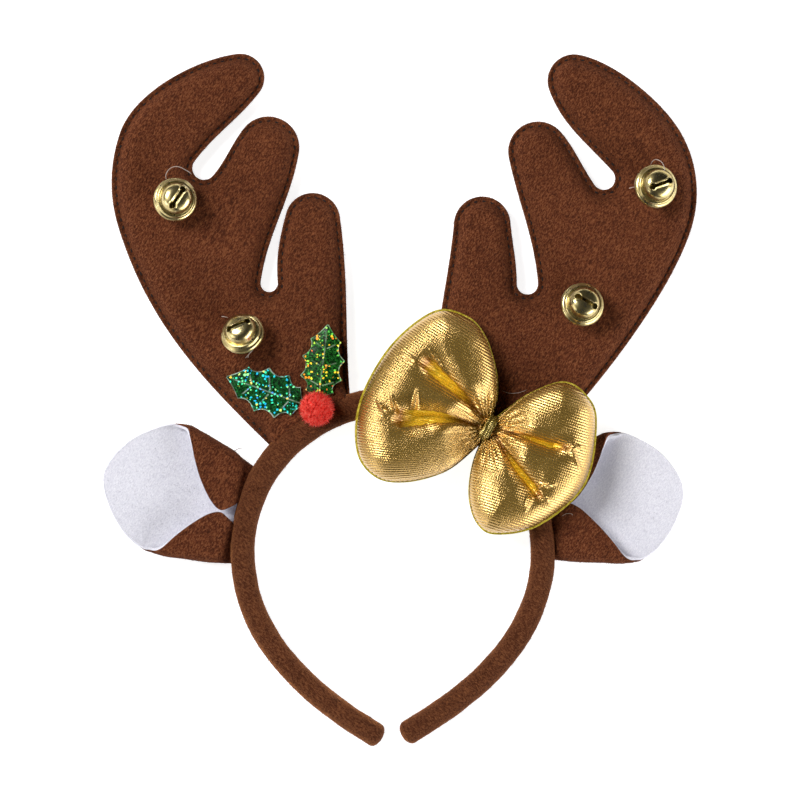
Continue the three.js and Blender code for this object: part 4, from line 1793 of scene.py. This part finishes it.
    def gold(self, lobe: Lobe, seed: int) -> BMesh:
        """Makes one padded lobe of gold, flat behind.

        Args:
            lobe: the lobe.
            seed: sets its creases.

        Returns:
            The closed mesh, with its cloth's directions as a UV map and its folds' painted shade and amber
            as an attribute.
        """
        line = lobe.edge(-self.edge)
        near = KDTree(self.edge_steps)
        for k in range(self.edge_steps):
            near.insert(line.at(line.length * k / (self.edge_steps - 1))[0], k)
        near.balance()
        base = self.back + self.backing + self.gap

        def place(u: float, v: float) -> Vector:
            """Puts a corner of the grid on the lobe's plan, closer together at its edge."""
            return line.at(u * line.length)[0] * (0.05 + 0.95 * (1 - (1 - v) ** 1.4))

        bm = mapped_grid(*self.grid, place)
        uv = bm.loops.layers.uv.new("cloth")
        painted_fold_tint = bm.verts.layers.float.new("fold")
        for vert in bm.verts:
            lift, folded = self.height(lobe, vert.co, near.find(vert.co)[2], seed)
            vert.co.z = base + lift
            vert[painted_fold_tint] = folded
        border = [edge for edge in bm.edges if edge.is_boundary]
        made = bmesh.ops.extrude_edge_only(bm, edges=border)["geom"]
        for vert in made:
            if isinstance(vert, BMVert):
                vert.co.z = base
        floor = [edge for edge in bm.edges if edge.is_boundary]
        bmesh.ops.triangle_fill(bm, edges=floor, use_beauty=True)
        bmesh.ops.recalc_face_normals(bm, faces=bm.faces)
        for face in bm.faces:
            for loop in face.loops:
                spot = lobe.cloth(loop.vert.co.to_2d().to_3d())
                loop[uv].uv = Vector(spot) * MM
        bmesh.ops.translate(bm, vec=Vector((self.x, self.y, 0.0)), verts=bm.verts)
        settle(bm)
        return bm

    def felt(self, lobe: Lobe) -> BMesh:
        """Makes one lobe of the backing, its edge rounded.

        Args:
            lobe: the lobe.

        Returns:
            The closed mesh.
        """
        section = ((-0.35, 0.0), (0.0, 0.25), (0.05, 0.6), (0.0, 0.95), (-0.35, self.backing))
        bm = bmesh.new()
        loop: list[BMVert] = []
        for grow, up in section:
            points = [p + Vector((self.x, self.y, self.back + up)) for p in lobe.edge(grow).points]
            if loop:
                loop = extend(bm, loop, points)
            else:
                loop = start_loop(bm, points)
                fill_even(bm, loop, self.fill)
        fill_even(bm, loop, self.fill)
        bmesh.ops.recalc_face_normals(bm, faces=bm.faces)
        settle(bm)
        return bm

    def tie(self) -> BMesh:
        """Makes the crinkled wrap round the waist.

        Returns:
            The closed mesh, with its cloth's directions as a UV map.
        """
        along = polar(self.axis)
        side = polar(self.axis + 90)
        middle = Vector((self.x, self.y, self.tie_z))

        def place(u: float, v: float) -> Vector:
            """Puts a corner of the grid on the wrap.

            Args:
                u: its share of the way round the tie.
                v: its share of the way round the wrap's section.

            Returns:
                The point.
            """
            turn, round_it = 2 * math.pi * u, 2 * math.pi * v
            spread = self.tie_half * math.cos(round_it)
            crease = self.tie_crease * math.sin(3.1 * spread + 0.9 * math.sin(2 * turn))
            spot = Vector((math.cos(turn) * 2, math.sin(turn) * 2, spread))
            crease += self.tie_crumple * noise.noise(spot)
            proud = self.tie_proud + (self.tie_thick + crease) * math.sin(round_it)
            out = side * ((self.tie_side + proud) * math.cos(turn))
            out += Z * ((self.tie_rise + proud) * math.sin(turn))
            return middle + out + along * spread

        bm = mapped_grid(*self.tie_grid, place)
        uv = bm.loops.layers.uv.new("cloth")
        # The wrap has no folds of its own, so the attribute that its material reads stays at 0
        bm.verts.layers.float.new("fold")
        for face in bm.faces:
            for loop in face.loops:
                spot = loop.vert.co - middle
                angle = math.atan2(spot.z, spot.dot(side))
                loop[uv].uv = Vector((spot.dot(along), angle * 5)) * MM
        return bm

    def build(self) -> None:
        """Makes the gold, the backing with its nap, and the tie."""
        parts = {"gold": bmesh.new(), "felt": bmesh.new()}
        for i, lobe in enumerate(self.lobes):
            for key, bm in (("gold", self.gold(lobe, 3 + 2 * i)), ("felt", self.felt(lobe))):
                scratch = bpy.data.meshes.new("scratch")
                bm.to_mesh(scratch)
                bm.free()
                parts[key].from_mesh(scratch)
                bpy.data.meshes.remove(scratch)
        fuzz = Nap(length=(0.5, 1.2), lift=(0, 30)).grow(parts["felt"], self.fibres, seed=41)
        made = piece("bow_gold", parts["gold"], GOLD, Slot.GOLD_LAME, ["bow_pad"])
        felt = piece("bow_backing_felt", parts["felt"], YELLOW, Slot.BOW_FELT, ["bow_backing"])
        piece("bow_backing_fibres", fuzz, YELLOW, Slot.BOW_FELT)
        piece("bow_wrap", self.tie(), WRAP, Slot.BOW_WRAP, ["bow_tie"])


# The bells


@dataclass(frozen=True)
class Bell:
    """A jingle bell: a domed lid with a slot, crimped over a round cup.

    Attributes:
        name: the solid that it stands for.
        x: its middle, from side to side.
        y: its middle, from the tips of the band to the tips of the antlers.
        slot: the direction of its slot.
        lean: the angle that it leans by.
        towards: the direction that it leans in.
        z: the height of its rim.
        dome: the radius of the lid.
        rise: the height of the lid.
        boxy: how square the lid's shoulder is, 2 for a round one.
        foot: the height of the foot of the lid over the rim.
        hole: the radius of the hole at each end of the slot.
        apart: the distance between the holes.
        width: the width of the slot between them.
        cup: the radius of the cup.
        depth: the depth of the cup.
        wall: the thickness of the metal.
        sides: points round it.
        cup_angles: where the cup's loops are, in degrees below the rim.
        inner_shares: where the loops under the lid are, from the slot to the edge.
        outer_shares: where the loops on the lid are.
        rim: the radii and heights of the crimped rim.
        lip: how far the turned edge of the slot runs out and how high it stands.
    """

    name: str
    x: float
    y: float
    slot: float
    lean: float
    towards: float
    z: float = 18.4
    dome: float = 7.1
    rise: float = 6.0
    boxy: float = 3.0
    foot: float = 3.4
    hole: float = 1.35
    apart: float = 8.8
    width: float = 1.3
    cup: float = 8.4
    depth: float = 6.2
    wall: float = 0.4
    sides: int = 96
    cup_angles: tuple[float, ...] = (89, 80, 70, 60, 50, 40, 30, 20, 8)
    inner_shares: tuple[float, ...] = (1.0, 0.93, 0.8, 0.55, 0.3, 0.1)
    outer_shares: tuple[float, ...] = (0.14, 0.3, 0.46, 0.62, 0.76, 0.86, 0.93, 0.975, 1.0)
    rim: tuple[tuple[float, float], ...] = (
        (7.2, 3.12), (7.36, 3.05), (7.56, 3.2), (7.82, 3.3), (8.1, 3.24), (8.36, 3.0),
        (8.55, 2.6), (8.68, 2.2), (8.84, 1.95), (9.1, 1.82), (9.38, 1.62), (9.64, 1.26),
        (9.82, 0.8), (9.9, 0.3), (9.86, -0.15), (9.65, -0.5), (9.2, -0.7), (8.7, -0.75),
    )
    lip: tuple[tuple[float, float], ...] = (
        (0.0, 0.1), (0.06, 0.3), (0.2, 0.42), (0.38, 0.36), (0.52, 0.14), (0.62, 0.0),
    )

    def slot_outline(self, grow: float) -> list[Vector]:
        """Runs round the slot: two round holes joined by a narrow bar.

        Args:
            grow: how far outside the slot's edge to run.

        Returns:
            The points, anticlockwise, as many as the bell has sides.
        """
        hole, half = self.hole + grow, self.width / 2 + grow
        neck = math.degrees(math.asin(half / hole))
        end = self.apart / 2
        steps = self.sides // 4 + 2
        angles = [lerp(neck - 180, 180 - neck, k / steps) for k in range(steps + 1)]
        points = [Vector((end, 0.0, 0.0)) + polar(angle, hole) for angle in angles]
        bar = self.sides // 2 - len(points)
        inner = points[-1].x
        points += [Vector((lerp(inner, -inner, (k + 1) / (bar + 1)), half, 0.0)) for k in range(bar)]
        return [*points, *[Vector((-p.x, -p.y, 0.0)) for p in points]]

    def circle(self) -> list[Vector]:
        """Runs round a circle of radius 1, each point out from its mate on the slot.

        Returns:
            The points, in the order of the slot's.
        """
        steps = self.sides // 4 + 2
        bar = self.sides // 2 - steps - 1
        angles = [lerp(-50, 50, k / steps) for k in range(steps + 1)]
        angles += [lerp(50, 130, (k + 1) / (bar + 1)) for k in range(bar)]
        return [polar(angle) for angle in (*angles, *(angle + 180 for angle in angles))]

    def on_dome(self, point: Vector, proud: float = 0.0, wall: float = 0.0) -> Vector:
        """Lifts a flat point on to the lid.

        Args:
            point: the point.
            proud: how far above the lid it goes.
            wall: how far inside the lid's outer face the surface is.

        Returns:
            The point on the lid.
        """
        share = min(1.0, point.length / (self.dome - wall))
        rise = (self.rise - wall) * (1 - share ** self.boxy) ** (1 / self.boxy)
        return Vector((point.x, point.y, self.foot + rise + proud))

    def shell(self) -> BMesh:
        """Makes the bell upright at the origin.

        Its loops run from the inside of the cup, through the slot, to the outside of the cup.

        Returns:
            The closed mesh.
        """
        circle = self.circle()
        edge = self.slot_outline(self.lip[-1][0])
        arc = [polar(-angle) for angle in self.cup_angles]

        def cup(wall: float) -> list[list[Vector]]:
            """Runs the cup's loops up from its bottom, a wall inside its outer face."""
            wide, deep = self.cup - wall, self.depth - wall
            return [[c * (p.x * wide) + Z * (p.y * deep) for c in circle] for p in arc]

        loops = cup(self.wall)
        for share in self.inner_shares:
            spread = [p.lerp(c * (self.dome - self.wall), share) for p, c in zip(edge, circle)]
            loops.append([self.on_dome(point, wall=self.wall) for point in spread])
        loops.append([self.on_dome(point, wall=self.wall) for point in self.slot_outline(0.0)])
        for grow, proud in self.lip:
            loops.append([self.on_dome(point, proud) for point in self.slot_outline(grow)])
        for share in self.outer_shares:
            loops.append([self.on_dome(p.lerp(c * self.dome, share)) for p, c in zip(edge, circle)])
        loops += [[c * radius + Z * up for c in circle] for radius, up in self.rim]
        loops += reversed(cup(0.0))
        bm = bmesh.new()
        loop = start_loop(bm, loops[0])
        bmesh.ops.contextual_create(bm, geom=loop_edges(bm, loop))
        for points in loops[1:]:
            loop = extend(bm, loop, points)
        bmesh.ops.contextual_create(bm, geom=loop_edges(bm, loop))
        bmesh.ops.recalc_face_normals(bm, faces=bm.faces)
        settle(bm)
        return bm

    def build(self) -> None:
        """Makes the bell in its place."""
        bm = self.shell()
        turn = Matrix.Rotation(math.radians(self.slot), 4, "Z")
        lean = Matrix.Rotation(math.radians(self.lean), 4, polar(self.towards + 90))
        place = Matrix.Translation((self.x, self.y, self.z)) @ lean
        bmesh.ops.transform(bm, matrix=place @ turn, verts=bm.verts)
        piece(f"{self.name}_brass", bm, BELL_METAL, Slot.BELL_BRASS, [self.name])


BELLS = (
    Bell("bell_left_upper", -101.0, 90.0, 57, 11, 27),
    Bell("bell_left_lower", -70.6, 29.6, 25, 30, 115),
    Bell("bell_right_upper", 114.7, 95.9, 20, 16, 24),
    Bell("bell_right_lower", 81.8, 42.8, -30, 14, 42),
)


# The holly


@dataclass(frozen=True)
class Leaf:
    """A holly leaf pressed from foil, with raised veins and a raised edge.

    Attributes:
        name: the solid that it stands for.
        x: its tip, from side to side.
        y: its tip, from the tips of the band to the tips of the antlers.
        heading: the direction from its tip to its stalk.
        size: its size as a share.
        finish: its foil.
        z: the height of its back.
        length: from its tip to its stalk.
        ridge: how far its middle stands over its sides.
        hollow: how deep the edge curves in between two spines.
        tip_hollow: how deep it curves in next to the tip.
        tip: half the width of the tip.
        vein: half the width of the middle vein.
        side_vein: half the width of a side vein.
        emboss: the height of the veins and the edge.
        wave: the height of the foil's waves.
        foil: the foil's thickness.
        step: the length of a face along the leaf.
        columns: faces across it.
        spines: how far along each spine is, as a share, and how far it reaches.
    """

    name: str
    x: float
    y: float
    heading: float
    size: float
    finish: Finish
    z: float = 11.8
    length: float = 37.3
    ridge: float = 1.6
    hollow: float = 2.0
    tip_hollow: float = 0.6
    tip: float = 0.4
    vein: float = 0.24
    side_vein: float = 0.2
    emboss: float = 0.4
    wave: float = 0.35
    foil: float = 0.5
    step: float = 0.4
    columns: int = 56
    spines: tuple[tuple[float, float], ...] = (
        (0.0, 0.4), (0.21, 7.6), (0.445, 10.3), (0.7, 10.2), (0.88, 7.0), (1.0, 1.6),
    )

    def stations(self) -> list[tuple[float, float]]:
        """Spaces the leaf's sections, with one at each spine.

        Returns:
            How far along each section is and how far it reaches.
        """
        sections = [self.spines[0]]
        for (a, low), (b, high) in zip(self.spines, self.spines[1:]):
            count = round((b - a) * self.length / self.step)
            hollow = self.hollow if a else self.tip_hollow
            for k in range(1, count + 1):
                part = k / count
                reach = lerp(low, high, part) - hollow * 4 * part * (1 - part)
                sections.append((lerp(a, b, part), max(self.tip, reach)))
        return [(along * self.length, reach) for along, reach in sections]

    def veins(self) -> list[Line]:
        """Runs a side vein out to each spine.

        Returns:
            The veins, from the middle one.
        """
        veins = []
        for along, reach in self.spines[1:-1]:
            for side in (-1, 1):
                start = Vector((along * self.length + 3.6, side * 1.2, 0.0))
                end = Vector((along * self.length + 1.4, side * reach * 0.62, 0.0))
                veins.append(Line([start, end]))
        return veins

    def relief(self, veins: Sequence[Line], point: Vector, reach: float) -> float:
        """Works out how far the foil is pressed up at a place.

        Args:
            veins: the side veins.
            point: the place on the flat leaf, from its tip.
            reach: how far the leaf reaches there.

        Returns:
            A share, 0 between the veins and up to 1 on them.
        """
        raised = 0.6 * math.exp(-((point.y / self.vein) ** 2)) * smoothstep(point.x, 2.0, 6.0)
        for line in veins:
            away, part = line.off(point)
            raised = max(raised, math.exp(-((away / self.side_vein) ** 2)) * (1 - 0.5 * part))
        return max(raised, 0.8 * smoothstep(abs(point.y), reach - 0.5, reach - 0.2))

    def build(self) -> None:
        """Makes the leaf."""
        sections = self.stations()
        veins = self.veins()
        bm = bmesh.new()
        bmesh.ops.create_grid(bm, x_segments=self.columns, y_segments=len(sections) - 1, size=0.5)
        mark = bm.verts.layers.float.new("relief")
        for vert in bm.verts:
            along, reach = sections[round((vert.co.y + 0.5) * (len(sections) - 1))]
            share = 2 * vert.co.x
            point = Vector((along, share * reach, 0.0))
            raised = self.relief(veins, point, reach)
            up = self.ridge * (1 - abs(share)) * min(1.0, reach / 5) + self.emboss * raised
            up += self.wave * noise.noise(Vector((point.x / 6, point.y / 6, self.heading)))
            vert.co = Vector((point.x * self.size, point.y * self.size, up + 0.4))
            vert[mark] = raised
        bmesh.ops.recalc_face_normals(bm, faces=bm.faces)
        if sum(face.normal.z for face in bm.faces) < 0:
            bmesh.ops.reverse_faces(bm, faces=bm.faces)
        turn = Matrix.Rotation(math.radians(self.heading), 4, "Z")
        place = Matrix.Translation((self.x, self.y, self.z)) @ turn
        bmesh.ops.transform(bm, matrix=place, verts=bm.verts)
        made = piece(f"{self.name}_foil", bm, self.finish, Slot.LEAF_FOIL, [self.name])
        thick = made.modifiers.new("thickness", "SOLIDIFY")
        thick.thickness = self.foil * MM


LEAVES = (
    Leaf("holly_leaf_side", -77.9, 10.4, -19.7, 1.0, COOL_FOIL),
    Leaf("holly_leaf_upright", -32.4, 33.8, -97.3, 0.92, WARM_FOIL),
)


@dataclass(frozen=True)
class Pompom:
    """A wool pompom, trimmed round and flat behind where it is glued."""

    x: float = -37.4
    y: float = -4.0
    z: float = 17.9
    core: float = 6.0
    cut: float = 4.5
    lump: float = 0.07
    small_lump: float = 0.05
    strands: int = 3400

    def build(self) -> None:
        """Makes the ball and its strands."""
        bm = bmesh.new()
        bmesh.ops.create_icosphere(bm, subdivisions=5, radius=self.core)
        for vert in bm.verts:
            lump = self.lump * noise.noise(vert.co / 2.6)
            vert.co *= 1 + lump + self.small_lump * noise.noise(vert.co / 1.1)
        bmesh.ops.bisect_plane(
            bm,
            geom=[*bm.verts, *bm.edges, *bm.faces],
            plane_co=Z * -self.cut,
            plane_no=Z,
            clear_inner=True,
        )
        bmesh.ops.holes_fill(bm, edges=[edge for edge in bm.edges if edge.is_boundary], sides=0)
        bmesh.ops.recalc_face_normals(bm, faces=bm.faces)
        bmesh.ops.translate(bm, vec=Vector((self.x, self.y, self.z)), verts=bm.verts)
        fuzz = Nap(length=(1.0, 3.1), thick=0.21, lift=(42, 88)).grow(bm, self.strands, seed=51)
        low = [vert for vert in fuzz.verts if vert.co.z < self.z - self.cut + 0.05]
        bmesh.ops.delete(fuzz, geom=list(self.whole(low)), context="VERTS")
        made = piece("berry_ball", bm, RED, Slot.BERRY_WOOL, ["berry_pompom"])
        piece("berry_strands", fuzz, RED, Slot.BERRY_WOOL)

    def whole(self, some: Sequence[BMVert]) -> set[BMVert]:
        """Finds the strands that some vertices belong to.

        Args:
            some: the vertices.

        Returns:
            Those vertices and the ones joined to them.
        """
        found = set(some)
        for vert in some:
            found.update(edge.other_vert(vert) for edge in vert.link_edges)
        return found


# Loose ends


@dataclass(frozen=True)
class LooseThread:
    """A loose end of thread, as points on its way."""

    name: str
    points: tuple[tuple[float, float, float], ...]
    thick: float
    finish: Finish
    slot: Slot
    curve_steps: int = 8
    sides: int = 6
    steps: int = 30

    def build(self) -> None:
        """Makes the thread."""
        line = Line(spline([Vector(point) for point in self.points], self.curve_steps))
        piece(self.name, tube(line, self.thick, self.sides, self.steps), self.finish, self.slot)


THREADS = (
    LooseThread("thread_arc_left_upper", (
        (-104.6, 98.0, 13.0), (-105.3, 101.2, 14.4), (-103.0, 104.3, 15.8), (-99.4, 104.8, 15.6),
        (-95.0, 102.6, 13.4), (-93.6, 101.4, 12.0),
    ), 0.16, CLEAR_THREAD, Slot.BELL_BRASS),
    LooseThread("thread_tail_left_lower_a", (
        (-66.2, 22.6, 13.4), (-67.6, 21.0, 13.6), (-69.6, 18.8, 12.6),
    ), 0.2, CLEAR_THREAD, Slot.BELL_BRASS),
    LooseThread("thread_tail_left_lower_b", (
        (-66.8, 22.2, 13.4), (-68.0, 20.4, 14.4), (-68.4, 18.9, 13.6),
    ), 0.18, CLEAR_THREAD, Slot.BELL_BRASS),
    LooseThread("thread_tail_left_lower_c", (
        (-77.2, 37.0, 13.2), (-78.8, 37.4, 13.8), (-80.4, 37.6, 12.8),
    ), 0.18, CLEAR_THREAD, Slot.BELL_BRASS),
    LooseThread("thread_loop_right_upper", (
        (112.6, 105.6, 13.0), (113.6, 107.4, 15.0), (115.1, 108.0, 17.6), (117.0, 107.1, 19.6),
        (118.2, 105.4, 21.0), (118.6, 103.1, 22.6), (118.2, 101.2, 24.9), (117.8, 99.9, 25.9),
    ), 0.16, CLEAR_THREAD, Slot.BELL_BRASS),
    LooseThread("thread_tail_right_upper", (
        (105.6, 95.8, 13.4), (104.4, 95.6, 13.8), (103.0, 95.2, 12.8),
    ), 0.2, CLEAR_THREAD, Slot.BELL_BRASS),
    LooseThread("stray_fibre_ear_left", (
        (-76.0, -23.6, 6.0), (-74.0, -22.6, 6.4), (-72.6, -21.8, 6.6), (-70.6, -21.7, 6.4),
    ), 0.12, BROWN, Slot.BROWN_FELT),
    LooseThread("stray_hair_antler_right", (
        (45.6, 4.4, 12.0), (49.0, 3.1, 12.9), (53.6, 3.3, 12.9), (57.4, 4.8, 11.8),
    ), 0.09, CLEAR_THREAD, Slot.BROWN_FELT),
    LooseThread("stray_hair_ear_right", (
        (72.4, -52.6, 12.0), (74.8, -51.2, 12.9), (77.3, -51.3, 12.8), (77.8, -52.8, 12.0),
    ), 0.09, CLEAR_THREAD, Slot.BROWN_FELT),
)


# The studio


@dataclass(frozen=True)
class Softbox:
    """A soft light: where it stands, its size and its strength."""

    name: str
    place: tuple[float, float, float]
    size: tuple[float, float]
    watts: float

    def build(self) -> None:
        """Makes the light, facing the headband."""
        lamp = bpy.data.lights.new(self.name, "AREA")
        lamp.shape = "RECTANGLE"
        lamp.size, lamp.size_y = self.size
        lamp.energy = self.watts
        made = bpy.data.objects.new(self.name, lamp)
        made.location = self.place
        made.rotation_euler = (-Vector(self.place)).to_track_quat("-Z", "Y").to_euler()
        bpy.context.scene.collection.objects.link(made)


@dataclass(frozen=True)
class Studio:
    """A white table, soft lights, a sky and a camera straight above, in metres.

    Attributes:
        distance: from the camera to the level that it is set for.
        level: that level, over the table.
        lens: the camera's focal length in millimetres.
        table_radius: the radius of the table.
        table_drop: how far the table is under the headband.
        table_glow: the light that the table gives.
        walls: the light of the sky up to half its height.
        zenith: its light at the top.
        window: how much brighter its left side is.
        inner: how much darker its right side is.
        lights: the soft lights.
    """

    distance: float = 2.8
    level: float = 0.012
    lens: float = 280.0
    table_radius: float = 4.0
    table_drop: float = 0.0002
    table_glow: float = 0.9
    walls: float = 0.5
    zenith: float = 0.2
    window: float = 1.5
    inner: float = 0.45
    lights: tuple[Softbox, ...] = (
        Softbox("key", (-1.9, 1.3, 2.3), (1.3, 1.3), 101.0),
        Softbox("fill", (2.0, -1.2, 0.9), (2.6, 1.3), 62.0),
        Softbox("side", (-2.2, -0.9, 1.0), (1.3, 1.3), 15.0),
    )

    def table(self) -> None:
        """Makes the lit white table."""
        bm = bmesh.new()
        bmesh.ops.create_circle(bm, cap_ends=True, segments=96, radius=self.table_radius)
        mesh = bpy.data.meshes.new("table")
        bm.to_mesh(mesh)
        bm.free()
        finish = bpy.data.materials.new("lit_table_white")
        finish.use_nodes = True
        shader = finish.node_tree.nodes["Principled BSDF"]
        shader.inputs["Base Color"].default_value = linear(0xBCBCBC)
        shader.inputs["Roughness"].default_value = 0.9
        shader.inputs["Emission Color"].default_value = linear(0xFFFFFF)
        shader.inputs["Emission Strength"].default_value = self.table_glow
        mesh.materials.append(finish)
        table = bpy.data.objects.new("table", mesh)
        table.location.z = -self.table_drop
        bpy.context.scene.collection.objects.link(table)

    def sky(self) -> None:
        """Makes the light all round: pale walls, brighter on the left, and a darker ceiling."""
        sky = bpy.data.worlds.new("studio")
        sky.use_nodes = True
        tree = sky.node_tree
        ray = add(tree, "ShaderNodeTexCoord").outputs["Generated"]
        way = add(tree, "ShaderNodeSeparateXYZ", {0: ray})
        rise = add(tree, "ShaderNodeMapRange", {
            "Value": way.outputs["Z"], "From Min": 0.45, "From Max": 0.92,
            "To Min": self.walls, "To Max": self.zenith,
        }, interpolation_type="SMOOTHSTEP")
        side = add(tree, "ShaderNodeMapRange", {
            "Value": way.outputs["X"], "From Min": -0.8, "From Max": 0.8,
            "To Min": self.window, "To Max": self.inner,
        })
        light = add(tree, "ShaderNodeMath", {0: rise.outputs[0], 1: side.outputs[0]}, operation="MULTIPLY")
        tree.links.new(light.outputs[0], tree.nodes["Background"].inputs["Strength"])
        bpy.context.scene.world = sky

    def camera(self) -> None:
        """Makes the camera straight above."""
        eye = bpy.data.cameras.new("camera")
        eye.lens = self.lens
        eye.sensor_width = 36.0
        eye.clip_end = 20.0
        camera = bpy.data.objects.new("camera", eye)
        camera.location = (0.0, 0.0, self.distance + self.level)
        bpy.context.scene.collection.objects.link(camera)
        bpy.context.scene.camera = camera
        bpy.context.scene.view_settings.view_transform = "Standard"

    def build(self) -> None:
        """Makes the table, the lights, the sky and the camera."""
        self.table()
        for light in self.lights:
            light.build()
        self.sky()
        self.camera()


def main() -> None:
    """Builds the headband piece by piece."""
    logging.basicConfig(level=logging.INFO, format="%(message)s")
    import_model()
    Studio().build()
    Headband().build()
    for part in (*ANTLERS, *EARS, Bow(), *BELLS, *LEAVES, Pompom(), *THREADS):
        part.build()


if __name__ == "__main__":
    main()
